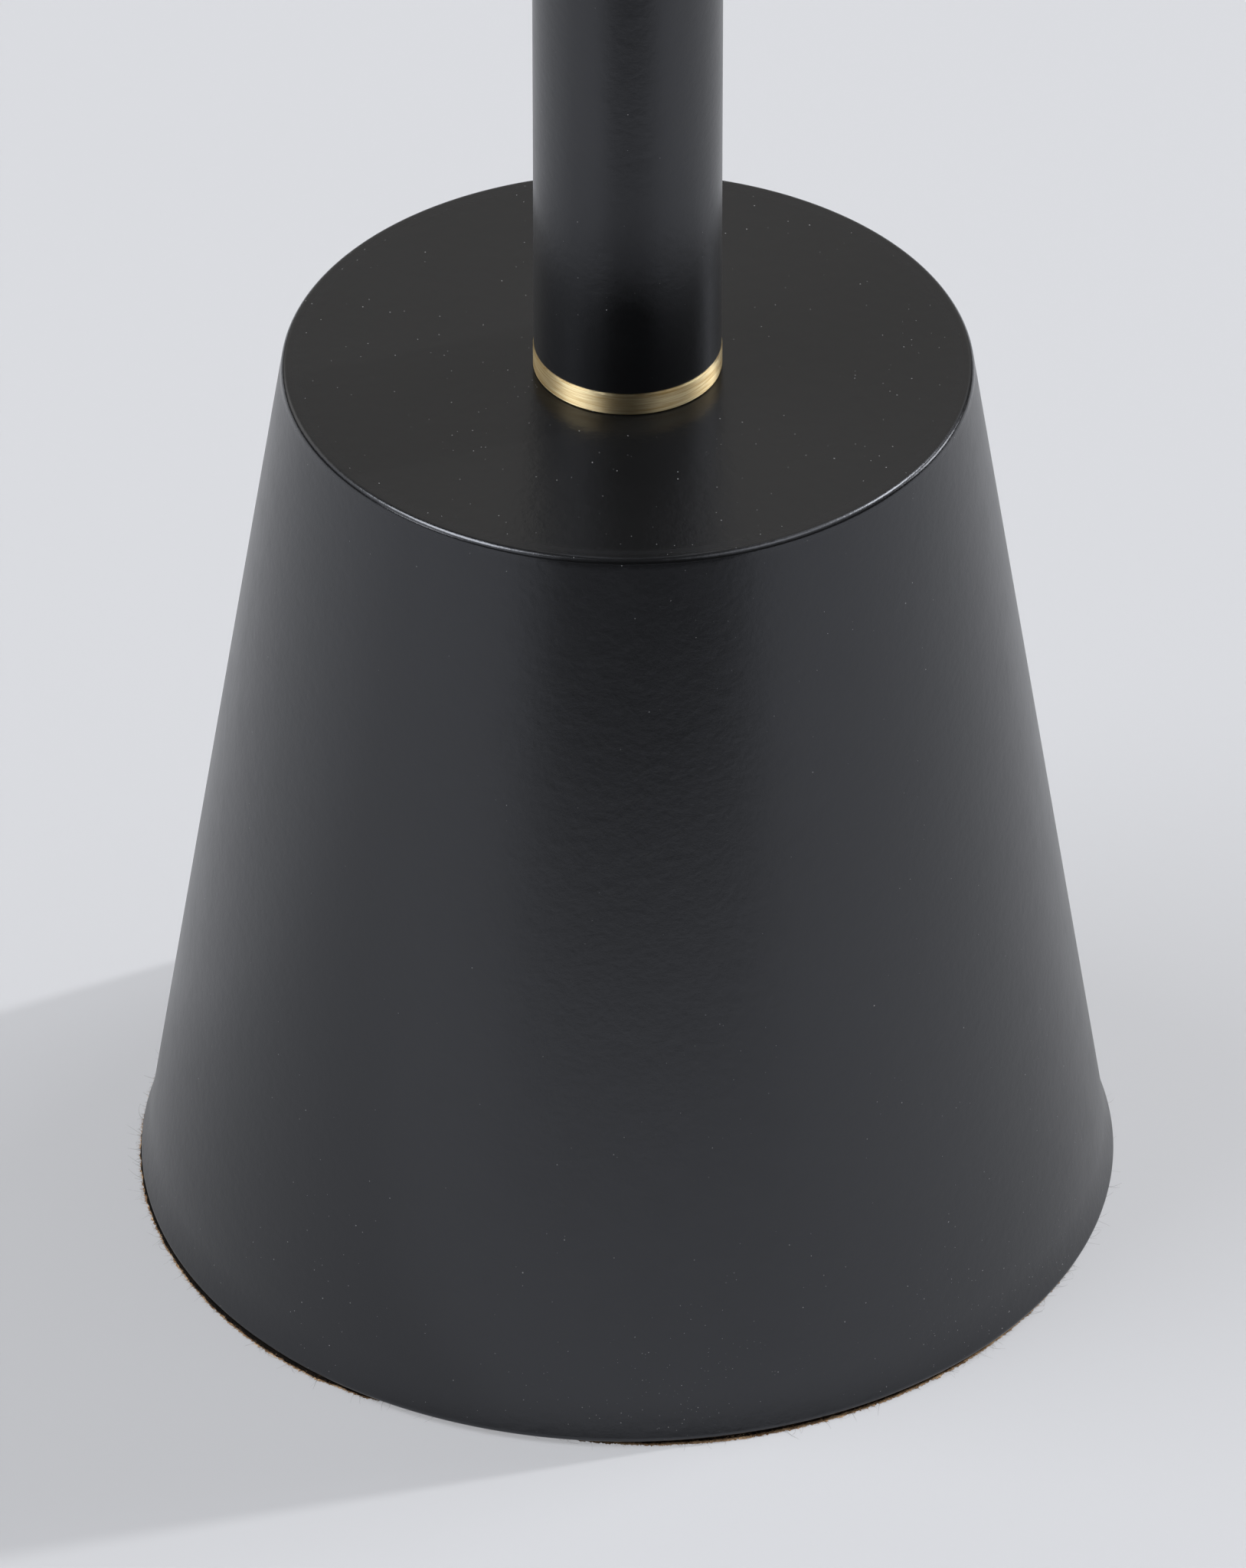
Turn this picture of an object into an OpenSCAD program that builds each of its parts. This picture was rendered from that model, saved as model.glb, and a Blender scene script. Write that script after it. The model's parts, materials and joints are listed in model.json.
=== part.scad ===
// Floor lamp: a weighted cone base, a straight pole, a swing arm and a tilting cone shade.
// Millimetres. The origin is on the floor, on the pole's axis. +Z is up and the arm points along +X.

/* [Base shell] */
// Diameter of the cone's straight side, carried down to the foot
base_foot_d = 202.4; // [190:0.2:230]
// Diameter of the cone's flat top, before its edge is rounded
base_top_d = 140; // [120:1:160]
// Height of the shell above the felt
base_h = 198; // [170:1:230]
// Sheet thickness of the shell
base_wall = 2; // [1.2:0.1:2.6]
// Rounding of the top edge
base_edge_r = 1.4; // [0.6:0.1:2.4]
// How far the foot flares out from the cone
lip_flare = 0.8; // [0.2:0.1:1.6]
// Height over which the foot flares
lip_h = 12; // [8:1:18]
// Height at the foot that has the whole flare
lip_land = 3; // [2:0.5:5]
// Rounding of the foot's lower edge
lip_edge_r = 0.8; // [0.3:0.1:1]

/* [Foot] */
// Thickness of the felt
felt_t = 1; // [0.6:0.1:4]
// How far the felt stays inside the foot's edge
felt_inset = 0.4; // [0.2:0.1:3]
// Thickness of the bottom plate
plate_t = 1.5; // [1:0.1:3]
// Thickness of the ballast
ballast_t = 30; // [24:1:40]
// Chamfer round the ballast's upper edge
ballast_edge = 3; // [1:0.5:5]
// Diameter of the plate's screws
plate_screw_d = 4; // [3:0.5:5]
// Length of the plate's screws above the plate
plate_screw_l = 12; // [8:1:16]
// Diameter of the circle that the plate's screws lie on
plate_screw_circle = 130; // [90:1:150]
// Number of plate screws
plate_screws_n = 3; // [3:1:6]

/* [Tie rod] */
// Diameter of the tie rod
rod_d = 13; // [11:0.5:15]
// Bore of the tie rod, for the lead
rod_bore = 9; // [6:0.5:9.5]
// Length of rod that stands past its nut and its plug
rod_stick = 2; // [1:0.5:4]
// Height of the rod's nut
rod_nut_h = 6; // [4:0.5:8]
// Thickness of the washers
washer_t = 2; // [1:0.5:3]
// Width of the rod's washer round the rod
washer_w = 9; // [6:0.5:12]
// Metal round the thread in the nuts, at their corners
nut_wall = 4; // [3:0.5:5]
// Free room round and under the nut in the ballast's pocket
pocket_room = 2; // [1:0.5:4]
// Width of the slot where the lead enters the rod
rod_slot_w = 6; // [4:0.5:8]
// Height of the slot where the lead enters the rod
rod_slot_h = 24; // [16:1:32]

/* [Cord outlet] */
// Diameter of the bushing's body
bushing_d = 11; // [10:0.5:13]
// Bore for the cord
bushing_bore = 7; // [5:0.5:8]
// Diameter of the bushing's flange
bushing_flange_d = 17; // [15:0.5:20]
// Thickness of the bushing's flange
bushing_flange_t = 2.5; // [1.5:0.1:4]
// Height of the bushing's axis above the ballast
bushing_up = 15; // [13:1:40]
// Thickness of the bushing's nut
bushing_nut_t = 3; // [2:0.5:5]
// Length of bushing that stands past its nut
bushing_stick = 1.5; // [1:0.5:3]

/* [Pole] */
// Diameter of the pole
pole_d = 38; // [36:0.5:45]
// Wall of the pole
pole_wall = 1.5; // [1:0.1:2]
// Length of the pole's lower section
pole_lower_l = 600; // [400:10:700]
// Length of the pole's upper section
pole_upper_l = 600; // [400:10:700]
// Height of the brass rings
ring_h = 5; // [4:0.5:10]
// How far the brass rings stand out from the tubes
ring_proud = 0.15; // [0:0.05:1]
// Chamfer on the edges of the brass pieces
brass_edge = 0.3; // [0.1:0.1:0.6]
// Thickness of the plug in the pole's foot
plug_t = 14; // [10:1:20]
// Length of the sleeve that joins the two sections
coupler_l = 70; // [40:1:100]
// Wall of the sleeve that joins the two sections
coupler_wall = 3; // [2:0.5:5]

/* [Swivel] */
// Diameter of the spindle
spindle_d = 14; // [12:0.5:15]
// Bore of the spindle, for the lead
spindle_bore = 8; // [5:0.5:9]
// Depth of the spindle in the cap
spindle_seat = 10; // [8:0.5:11]
// Height of the spindle's nut
spindle_nut_h = 8; // [5:0.5:10]
// Length of the bush inside the pole
bush_l = 36; // [25:1:50]
// Thickness of the thrust washer
thrust_t = 0.8; // [0.5:0.1:1.5]
// How far the arm swings to each side, in degrees
swing = 165; // [90:5:165]
// Diameter of the stop pin
stop_pin_d = 3; // [2:0.5:3.5]
// Depth of the stop pin in the cap
stop_pin_seat = 8; // [5:0.5:10]
// Metal between the spindle's bore and the stop groove
groove_wall = 3; // [2.5:0.1:3.5]
// Depth of the stop groove
groove_depth = 3; // [2:0.5:3.5]
// Height of the cap
cap_h = 42; // [40:1:60]
// Rounding of the cap's upper edge
cap_edge_r = 3; // [1:0.5:6]

/* [Arm] */
// Diameter of the arm
arm_d = 16; // [14:0.5:18]
// Wall of the arm
arm_wall = 1.5; // [1:0.1:2]
// Length of the arm's tube
arm_l = 258; // [150:1:320]
// Height of the arm's axis above the cap's underside
arm_up = 23; // [22:0.5:26]
// Width of the locknut round the arm
locknut_w = 2.5; // [2:0.1:3.5]
// Length of the locknut
locknut_l = 8; // [7:0.5:14]
// Depth of the eye's spigot in the arm
eye_spigot_l = 20; // [10:1:40]
// Length of the eye's collar
eye_collar_l = 6; // [4:0.5:12]

/* [Tilt joint] */
// Distance from the eye's collar to the tilt axis
hinge_run = 17; // [16:0.5:25]
// Radius of the rounded ends that turn on the bolt
eye_r = 8; // [7:0.5:9]
// Thickness of the eye's tongue
tongue_t = 6; // [4:0.5:8]
// Height of the tongue and of the bracket's web
web_h = 13; // [11:0.5:13.5]
// Thickness of each ear
ear_t = 4; // [3:0.5:5]
// Thickness of the friction washers
friction_t = 1; // [0.5:0.1:1.5]
// Diameter of the bolt's shank
bolt_d = 7; // [6:0.5:8]
// Diameter of the bolt's threaded end
stud_d = 6; // [4:0.5:6]
// Diameter of the bolt's head
bolt_head_d = 13; // [10:0.5:15]
// Thickness of the bolt's head
bolt_head_t = 4; // [3:0.5:6]
// Free room between the tongue's end and the bracket
pad_gap = 0.7; // [0.5:0.1:1]
// Distance from the tilt axis to the cup's wall
cup_clear = 15; // [14:0.5:20]
// Diameter of the bracket's screws
bracket_screw_d = 3; // [2:0.5:3.5]
// Distance between the bracket's screws
bracket_screw_gap = 8; // [7:0.5:9]
// Depth of the bracket's screws in the bracket
bracket_screw_in = 4; // [3:0.5:5]
// Diameter of the clamp knob
tilt_knob_d = 20; // [16:0.5:26]
// Thickness of the clamp knob
tilt_knob_h = 11; // [8:0.5:16]

/* [Head] */
// Diameter of the cup
cup_d = 38; // [37:0.5:44]
// Sheet thickness of the cup
cup_wall = 1.5; // [1:0.1:1.8]
// Height of the cup
cup_h = 64; // [62:1:80]
// Rounding of the cup's upper edge
cup_edge_r = 3; // [2:0.5:5]
// Height of the tilt axis above the cup's lower rim
hinge_up = 31; // [29:0.5:33]
// Diameter of the vent holes
vent_d = 4; // [3:0.5:5]
// Number of vent holes
vents_n = 8; // [4:1:12]
// Distance of the vents from the cup's top
vent_down = 9; // [8:0.5:12]
// Diameter of the cup's screws
cup_screw_d = 3; // [2:0.5:4]
// Height of the cup's screws above the rim
cup_screw_up = 7; // [5:0.5:9]
// Depth of the cup's screws in the lampholder
cup_screw_in = 2; // [1.5:0.1:2.5]

/* [Lampholder] */
// Width of the shoulder between the flange and the thread
holder_step = 1; // [0.8:0.1:1.2]
// Height of the flange inside the cup
holder_flange_h = 14; // [12:0.5:16]
// Height of the lampholder above the cup's rim
holder_up = 36; // [32:0.5:37]
// Diameter of the lampholder above its flange
holder_neck_d = 26; // [22:0.5:27]
// Length of the screw shell
screw_shell_l = 24; // [22:0.5:26]
// Sheet thickness of the screw shell
screw_shell_t = 0.6; // [0.4:0.1:0.8]
// How far the screw shell stays inside the lampholder's mouth
screw_shell_in = 3; // [2:0.5:4]
// Diameter of the centre contact
contact_d = 8; // [6:0.5:10]
// Thickness of the centre contact
contact_t = 1.5; // [1:0.1:2]
// Height of the ring that holds the shade
shade_ring_h = 6; // [4:0.5:8]
// Width of the ring that holds the shade
shade_ring_w = 7; // [5:0.5:10]
// Number of finger notches in that ring
shade_ring_notches = 12; // [6:1:18]

/* [Shade] */
// Diameter of the shade's flat top, before its edge is rounded
shade_top_d = 116; // [100:1:120]
// Height of the shade
shade_h = 164; // [140:1:180]
// Sheet thickness of the shade
shade_wall = 1.2; // [0.8:0.1:2]
// Rounding of the shade's top edge
shade_edge_r = 1.4; // [0.6:0.1:3]
// Diameter of the bead rolled round the mouth
shade_bead_d = 3; // [2.5:0.1:4]

/* [Bulb] */
// Largest diameter of the bulb
bulb_d = 60; // [45:1:70]
// Length of the bulb's glass
bulb_l = 82; // [60:1:90]
// Thickness of the glass
bulb_wall = 1; // [0.6:0.1:1.5]
// Diameter of the bulb's cap
bulb_cap_d = 26; // [25.8:0.1:26.4]
// Length of the bulb's cap
bulb_cap_l = 26; // [25:0.5:28]
// Diameter of the contact on the cap's end
bulb_tip_d = 9; // [7:0.5:12]
// Length of the cap's end that tapers to its contact
bulb_tip_l = 6; // [4:0.5:8]

/* [Switch] */
// Diameter of the switch's body
switch_d = 22; // [18:0.5:26]
// Height of the switch's body
switch_h = 18; // [14:0.5:20]
// Diameter of the switch's threaded neck
switch_neck_d = 10; // [9:0.5:12]
// Height of the switch's neck above the cup
switch_neck_h = 5; // [4:0.5:7]
// Thickness of the switch's nut
switch_nut_t = 2.5; // [2:0.1:3.5]
// Metal round the thread in the switch's nut, at its corners
switch_nut_wall = 3; // [2:0.5:3.5]
// Diameter of the switch's shaft
shaft_d = 5; // [4:0.5:6]
// Depth of the shaft below the cup's top
shaft_in = 10; // [6:0.5:12]
// Depth of the shaft in its knob
shaft_seat = 6; // [4:0.5:7]
// Diameter of the switch's knob
switch_knob_d = 22; // [20.5:0.5:28]
// Height of the switch's knob above the cup
switch_knob_h = 15; // [14:0.5:20]

/* [Knobs] */
// Number of flutes round each knob
flutes_n = 20; // [12:1:28]
// Diameter of each flute
flute_d = 2; // [1:0.1:2.4]
// Chamfer on the knobs' edges
knob_edge = 0.8; // [0.4:0.1:1.4]

/* [Clearances] */
// Radial gap of pieces that are seated in each other
seat_gap = 0.1; // [0.05:0.01:0.2]
// Radial gap of threads and turning fits
run_gap = 0.05; // [0.02:0.01:0.08]
// Gap between flat faces that turn on each other
slide_gap = 0.1; // [0.05:0.01:0.2]
// Gap between pieces that pass without touching
wall_gap = 0.3; // [0.2:0.05:0.5]

/* [Hidden] */
$fn = 96;

// How far a cutting shape runs past the face that it cuts
past = 1;

// Finishes
satin_black = [0.055, 0.055, 0.055];
brass = [0.62, 0.46, 0.25];
felt_brown = [0.09, 0.075, 0.065];
bare_steel = [0.6, 0.6, 0.62];
cast_iron = [0.28, 0.28, 0.29];
black_nylon = [0.08, 0.08, 0.08];
ivory = [0.9, 0.87, 0.8];
frosted = [0.95, 0.95, 0.93];

// Heights of the base and the pole
foot_z = felt_t;
base_top_z = foot_z + base_h;
plate_top_z = foot_z + plate_t;
ballast_top_z = plate_top_z + ballast_t;
pocket_top_z = plate_top_z + pocket_room + rod_stick + rod_nut_h + washer_t;
rod_washer_z = pocket_top_z - washer_t;
rod_nut_z = rod_washer_z - rod_nut_h;
rod_bottom_z = rod_nut_z - rod_stick;
ring_top_z = base_top_z + ring_h;
plug_top_z = ring_top_z + plug_t;
rod_top_z = plug_top_z + rod_stick;
joint_z = ring_top_z + pole_lower_l;
pole_top_z = joint_z + pole_upper_l;
bushing_z = ballast_top_z + bushing_up;

// Heights of the swivel and the arm
flange_top_z = pole_top_z + ring_h;
bush_bottom_z = pole_top_z - bush_l;
spindle_washer_z = bush_bottom_z - slide_gap - washer_t;
spindle_nut_z = spindle_washer_z - spindle_nut_h;
spindle_bottom_z = spindle_nut_z - rod_stick;
cap_z = flange_top_z + thrust_t + slide_gap;
cap_top_z = cap_z + cap_h;
spindle_top_z = cap_z + spindle_seat;
arm_z = cap_z + arm_up;

// Radii of the base, the pole and the swivel
base_slope = (base_foot_d - base_top_d) / 2 / base_h;
base_tilt = atan(base_slope);
shell_t = base_wall / cos(base_tilt);
rod_hole_r = rod_d / 2 + wall_gap;
washer_r = rod_d / 2 + washer_w;
pocket_r = washer_r + pocket_room;
plate_r = shell_r(plate_top_z) - shell_t - wall_gap;
ring_r = pole_d / 2 + ring_proud;
pole_in_r = pole_d / 2 - pole_wall;
pole_fit_r = pole_in_r - seat_gap;
spindle_hole_r = spindle_d / 2 + run_gap;
groove_w = stop_pin_d + 2 * wall_gap;
stop_r = spindle_hole_r + groove_wall + groove_w / 2;

// Half the width of the stop, in degrees, which the pin meets at either end of the swing
stop_half = 180 - swing - asin(stop_pin_d / 2 / stop_r) - asin(run_gap / stop_r);

// Places along the arm
locknut_r = arm_d / 2 + locknut_w;
spot_r = locknut_r + wall_gap;
spot_x = sqrt(pow(pole_d / 2, 2) - pow(spot_r, 2));
arm_x = spindle_bore / 2;
arm_end_x = arm_x + arm_l;
hinge_x = arm_end_x + eye_collar_l + hinge_run;
cup_x = hinge_x + cup_clear + cup_d / 2;

// Places across the tilt joint
ear_in_y = tongue_t / 2 + slide_gap + friction_t;
ear_out_y = ear_in_y + ear_t;
ear_r = eye_r + pad_gap / 2;
pad_x = hinge_x + eye_r + pad_gap;
tilt_knob_y = ear_out_y + slide_gap;

// Heights of the head
cup_z = arm_z - hinge_up;
cup_top_z = cup_z + cup_h;
neck_z = cup_z - ring_h;
shade_ring_z = neck_z - shade_wall - shade_ring_h;
shade_foot_z = neck_z - shade_h;
holder_top_z = cup_z + holder_up;
ceiling_z = shade_ring_z + screw_shell_in + screw_shell_l;
bulb_tip_z = ceiling_z - contact_t;
bulb_cap_z = bulb_tip_z - bulb_cap_l;
switch_knob_z = cup_top_z + wall_gap;
knob_ceiling_z = cup_top_z + switch_neck_h + wall_gap;

// Radii of the head
cup_in_r = cup_d / 2 - cup_wall;
cup_ring_r = cup_d / 2 + ring_proud;
holder_flange_r = cup_in_r - seat_gap;
holder_r = holder_flange_r - holder_step;
holder_hole_r = holder_r + wall_gap;
screw_shell_in_r = bulb_cap_d / 2 + wall_gap;
screw_shell_r = screw_shell_in_r + screw_shell_t;
shade_t = shade_wall / cos(base_tilt);
switch_nut_r = switch_neck_d / 2 + switch_nut_wall;

// Screw heads, by the screw's diameter
function head_r(d) = 0.95 * d;
function head_t(d) = 0.6 * d;

// A smooth step from 0 to 1
function ease(t) = t <= 0 ? 0 : t >= 1 ? 1 : t * t * (3 - 2 * t);

// Points along an arc
function arc(cx, cy, r, from, to, steps = 8) =
    [for (i = [0 : steps]) let (a = from + (to - from) * i / steps) [cx + r * cos(a), cy + r * sin(a)]];

// How far a flat disc of radius r must stay from the crown of a round wall of radius wall_r
function crown(wall_r, r) = wall_r - sqrt(wall_r * wall_r - r * r);

// Outside radius of the base's straight cone, and of the shell with its flared foot
function cone_r(z) = base_foot_d / 2 - (z - foot_z) * base_slope;
function shell_r(z) = cone_r(z) + lip_flare * ease((foot_z + lip_h - z) / (lip_h - lip_land));

// Radius of the ballast's tapered rim
function rim_r(z) = cone_r(z) - shell_t - wall_gap;

// Outside radius of the shade, which has the base's taper
function shade_r(z) = shade_top_d / 2 + (neck_z - z) * base_slope;

// Radius of the bulb at a depth below its neck: a throat that swells into a round end
function bulb_r(depth, neck_r, round_r, round_depth) =
    depth < round_depth
        ? neck_r + (round_r - neck_r) * pow(sin(90 * depth / round_depth), 2)
        : sqrt(max(0, round_r * round_r - pow(depth - round_depth, 2)));

// Shapes that repeat

// A straight tube along +Z
module tube(h, r, bore_r) {
    difference() {
        cylinder(h = h, r = r);
        translate([0, 0, -past]) cylinder(h = h + 2 * past, r = bore_r);
    }
}

// A ring with its outer edges chamfered
module ring(h, r, bore_r, edge) {
    rotate_extrude()
        polygon([
            [bore_r, 0], [r - edge, 0], [r, edge],
            [r, h - edge], [r - edge, h], [bore_r, h]
        ]);
}

// A hexagonal nut with a plain bore
module hex_nut(h, r, bore_r) {
    difference() {
        cylinder(h = h, r = r, $fn = 6);
        translate([0, 0, -past]) cylinder(h = h + 2 * past, r = bore_r);
    }
}

// A fluted knob with chamfered edges and a blind hole from below
module fluted_knob(h, r, hole_r, hole_h) {
    difference() {
        rotate_extrude()
            polygon([
                [0, 0], [r - knob_edge, 0], [r, knob_edge],
                [r, h - knob_edge], [r - knob_edge, h], [0, h]
            ]);
        translate([0, 0, -past]) cylinder(h = hole_h + past, r = hole_r);
        for (i = [0 : flutes_n - 1])
            rotate([0, 0, 360 * i / flutes_n])
                translate([r + flute_d / 4, 0, -past])
                    cylinder(h = h + 2 * past, r = flute_d / 2, $fn = 24);
    }
}

// Places that repeat

// At each plate screw
module at_plate_screws() {
    for (i = [0 : plate_screws_n - 1])
        rotate([0, 0, 90 + 360 * i / plate_screws_n])
            translate([plate_screw_circle / 2, 0, 0])
                children();
}

// At the cord outlet on the back of the shell, with +Z square to the wall and outwards
module at_outlet() {
    translate([0, cone_r(bushing_z), bushing_z])
        rotate([base_tilt - 90, 0, 0])
            children();
}

// On the arm's axis, with +Z along the arm
module along_arm(x) {
    translate([x, 0, arm_z]) rotate([0, 90, 0]) children();
}

// On the tilt axis, with +Z along +Y
module along_tilt(y) {
    translate([hinge_x, y, arm_z]) rotate([-90, 0, 0]) children();
}

// On the head's axis
module on_head(z) {
    translate([cup_x, 0, z]) children();
}

// At each bracket screw, on the cup's axis, with +Z towards the tilt axis
module at_bracket_screws() {
    for (side = [-1, 1])
        translate([cup_x, 0, arm_z + side * bracket_screw_gap / 2])
            rotate([0, -90, 0])
                children();
}

// At each cup screw, on the cup's axis, with +Z outwards
module at_cup_screws() {
    for (side = [-1, 1])
        on_head(cup_z + cup_screw_up)
            rotate([side * 90, 0, 0])
                children();
}

// Foot and base

module felt_pad() {
    color(felt_brown) cylinder(h = felt_t, r = shell_r(foot_z) - felt_inset);
}

module bottom_plate() {
    color(bare_steel)
        difference() {
            translate([0, 0, foot_z]) cylinder(h = plate_t, r = plate_r);
            at_plate_screws()
                translate([0, 0, foot_z])
                    cylinder(h = plate_t, r1 = plate_screw_d + seat_gap, r2 = plate_screw_d / 2 + seat_gap);
        }
}

module plate_screws() {
    color(bare_steel)
        at_plate_screws() {
            translate([0, 0, foot_z])
                cylinder(h = plate_t, r1 = plate_screw_d, r2 = plate_screw_d / 2);
            translate([0, 0, plate_top_z])
                cylinder(h = plate_screw_l, r = plate_screw_d / 2);
        }
}

module ballast() {
    color(cast_iron)
        difference() {
            rotate_extrude()
                polygon([
                    [pocket_r, plate_top_z],
                    [rim_r(plate_top_z), plate_top_z],
                    [rim_r(ballast_top_z - ballast_edge), ballast_top_z - ballast_edge],
                    [rim_r(ballast_top_z) - ballast_edge, ballast_top_z],
                    [rod_hole_r, ballast_top_z],
                    [rod_hole_r, pocket_top_z],
                    [pocket_r, pocket_top_z]
                ]);
            at_plate_screws()
                translate([0, 0, plate_top_z - past])
                    cylinder(h = past + plate_screw_l + past, r = plate_screw_d / 2 + run_gap);
        }
}

module rod_washer() {
    color(bare_steel) translate([0, 0, rod_washer_z]) tube(washer_t, washer_r, rod_d / 2 + seat_gap);
}

module rod_nut() {
    color(bare_steel) translate([0, 0, rod_nut_z]) hex_nut(rod_nut_h, rod_d / 2 + nut_wall, rod_d / 2 + run_gap);
}

module base_rod() {
    color(bare_steel)
        difference() {
            translate([0, 0, rod_bottom_z]) tube(rod_top_z - rod_bottom_z, rod_d / 2, rod_bore / 2);
            translate([-rod_slot_w / 2, 0, bushing_z - rod_slot_h / 2])
                cube([rod_slot_w, rod_d, rod_slot_h]);
        }
}

// The shell's sheet, from the foot's lower edge up the side, over the top and back down inside
module shell_profile() {
    flare_steps = 8;
    lip_z = foot_z + lip_edge_r;
    flare_z = [for (i = [1 : flare_steps]) lip_z + (lip_h - lip_edge_r) * i / flare_steps];
    flare_down_z = [for (i = [flare_steps : -1 : 1]) flare_z[i - 1]];
    edge_z = base_top_z - base_edge_r;
    under_z = base_top_z - base_wall;
    polygon(concat(
        arc(shell_r(lip_z) - lip_edge_r, lip_z, lip_edge_r, -90, 0),
        [for (z = flare_z) [shell_r(z), z]],
        arc(cone_r(edge_z) - base_edge_r / cos(base_tilt), edge_z, base_edge_r, base_tilt, 90),
        [[rod_hole_r, base_top_z], [rod_hole_r, under_z], [cone_r(under_z) - shell_t, under_z]],
        [for (z = flare_down_z) [shell_r(z) - shell_t, z]],
        [[shell_r(foot_z) - shell_t, foot_z]]
    ));
}

module base_shell() {
    color(satin_black)
        difference() {
            rotate_extrude() shell_profile();
            at_outlet() cylinder(h = 4 * shell_t, r = bushing_d / 2 + seat_gap, center = true);
        }
}

module cord_bushing() {
    tail = base_wall + outlet_nut_drop() + bushing_nut_t + bushing_stick;
    bell = (bushing_d - bushing_bore) / 4;
    color(black_nylon)
        at_outlet()
            rotate_extrude()
                polygon([
                    [bushing_bore / 2, -tail],
                    [bushing_d / 2, -tail],
                    [bushing_d / 2, run_gap],
                    [bushing_flange_d / 2, run_gap],
                    [bushing_flange_d / 2, bushing_flange_t - bell],
                    [bushing_flange_d / 2 - bell, bushing_flange_t],
                    [bushing_bore / 2 + bell, bushing_flange_t],
                    [bushing_bore / 2, bushing_flange_t - bell]
                ]);
}

// The nut lies flat inside a round wall, so its rim meets the wall first
function outlet_nut_r() = bushing_d / 2 + nut_wall;
function outlet_nut_drop() = crown(cone_r(bushing_z) - shell_t, outlet_nut_r()) + seat_gap;

module bushing_nut() {
    color(black_nylon)
        at_outlet()
            translate([0, 0, -base_wall - outlet_nut_drop() - bushing_nut_t])
                hex_nut(bushing_nut_t, outlet_nut_r(), bushing_d / 2 + run_gap);
}

// Pole

module base_ring() {
    color(brass) translate([0, 0, base_top_z]) ring(ring_h, ring_r, rod_hole_r, brass_edge);
}

module pole_foot_plug() {
    color(bare_steel) translate([0, 0, ring_top_z]) tube(plug_t, pole_fit_r, rod_d / 2 + run_gap);
}

module pole_lower() {
    color(satin_black) translate([0, 0, ring_top_z]) tube(pole_lower_l, pole_d / 2, pole_in_r);
}

module pole_coupler() {
    color(bare_steel)
        translate([0, 0, joint_z - coupler_l / 2])
            tube(coupler_l, pole_fit_r, pole_fit_r - coupler_wall);
}

module pole_upper() {
    color(satin_black) translate([0, 0, joint_z]) tube(pole_upper_l, pole_d / 2, pole_in_r);
}

// Swivel

// The flange has a groove round almost all of its top, and what is left of the groove's circle is the stop
module swivel_bush() {
    color(brass)
        difference() {
            union() {
                translate([0, 0, pole_top_z]) ring(ring_h, ring_r, spindle_hole_r, brass_edge);
                translate([0, 0, bush_bottom_z]) tube(bush_l, pole_fit_r, spindle_hole_r);
            }
            translate([0, 0, flange_top_z - groove_depth])
                rotate([0, 0, stop_half])
                    rotate_extrude(angle = 360 - 2 * stop_half)
                        translate([stop_r - groove_w / 2, 0])
                            square([groove_w, groove_depth + past]);
        }
}

module thrust_washer() {
    color(black_nylon)
        translate([0, 0, flange_top_z])
            tube(thrust_t, ring_r - brass_edge, stop_r + groove_w / 2 + wall_gap);
}

module swivel_cap() {
    cap_r = pole_d / 2;
    color(satin_black)
        difference() {
            rotate_extrude()
                polygon(concat(
                    [[0, cap_z], [cap_r, cap_z]],
                    arc(cap_r - cap_edge_r, cap_top_z - cap_edge_r, cap_edge_r, 0, 90),
                    [[0, cap_top_z]]
                ));
            translate([0, 0, cap_z - past]) cylinder(h = past + spindle_seat, r = spindle_d / 2 + run_gap);
            translate([0, 0, cap_z]) cylinder(h = arm_up, r = spindle_bore / 2);
            along_arm(-arm_d / 2) cylinder(h = pole_d, r = arm_d / 2 + run_gap);
            along_arm(spot_x) cylinder(h = cap_r, r = spot_r);
            translate([-stop_r, 0, cap_z - past])
                cylinder(h = past + stop_pin_seat, r = stop_pin_d / 2 + run_gap);
        }
}

module stop_pin() {
    pin_z = flange_top_z - groove_depth + wall_gap;
    color(bare_steel)
        translate([-stop_r, 0, pin_z])
            cylinder(h = cap_z + stop_pin_seat - pin_z, r = stop_pin_d / 2);
}

module swivel_spindle() {
    color(bare_steel)
        translate([0, 0, spindle_bottom_z])
            tube(spindle_top_z - spindle_bottom_z, spindle_d / 2, spindle_bore / 2);
}

module spindle_washer() {
    color(bare_steel)
        translate([0, 0, spindle_washer_z])
            tube(washer_t, spindle_d / 2 + nut_wall + washer_t, spindle_d / 2 + seat_gap);
}

module spindle_nut() {
    color(bare_steel)
        translate([0, 0, spindle_nut_z])
            hex_nut(spindle_nut_h, spindle_d / 2 + nut_wall, spindle_d / 2 + run_gap);
}

// Arm

module arm_tube() {
    color(satin_black) along_arm(arm_x) tube(arm_l, arm_d / 2, arm_d / 2 - arm_wall);
}

module arm_locknut() {
    color(brass) along_arm(spot_x) ring(locknut_l, locknut_r, arm_d / 2 + run_gap, brass_edge);
}

// A spigot in the arm, a collar against its end and a flat tongue with a round end
module arm_eye() {
    color(brass)
        difference() {
            union() {
                along_arm(arm_end_x - eye_spigot_l)
                    cylinder(h = eye_spigot_l + past, r = arm_d / 2 - arm_wall - seat_gap);
                along_arm(arm_end_x)
                    ring(eye_collar_l, arm_d / 2 + ring_proud, 0, brass_edge);
                along_tilt(-tongue_t / 2) cylinder(h = tongue_t, r = eye_r);
                translate([arm_end_x + past, -tongue_t / 2, arm_z - web_h / 2])
                    cube([hinge_x - arm_end_x - past, tongue_t, web_h]);
            }
            along_tilt(-tongue_t) cylinder(h = 2 * tongue_t, r = bolt_d / 2 + run_gap);
        }
}

// Tilt joint

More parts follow.
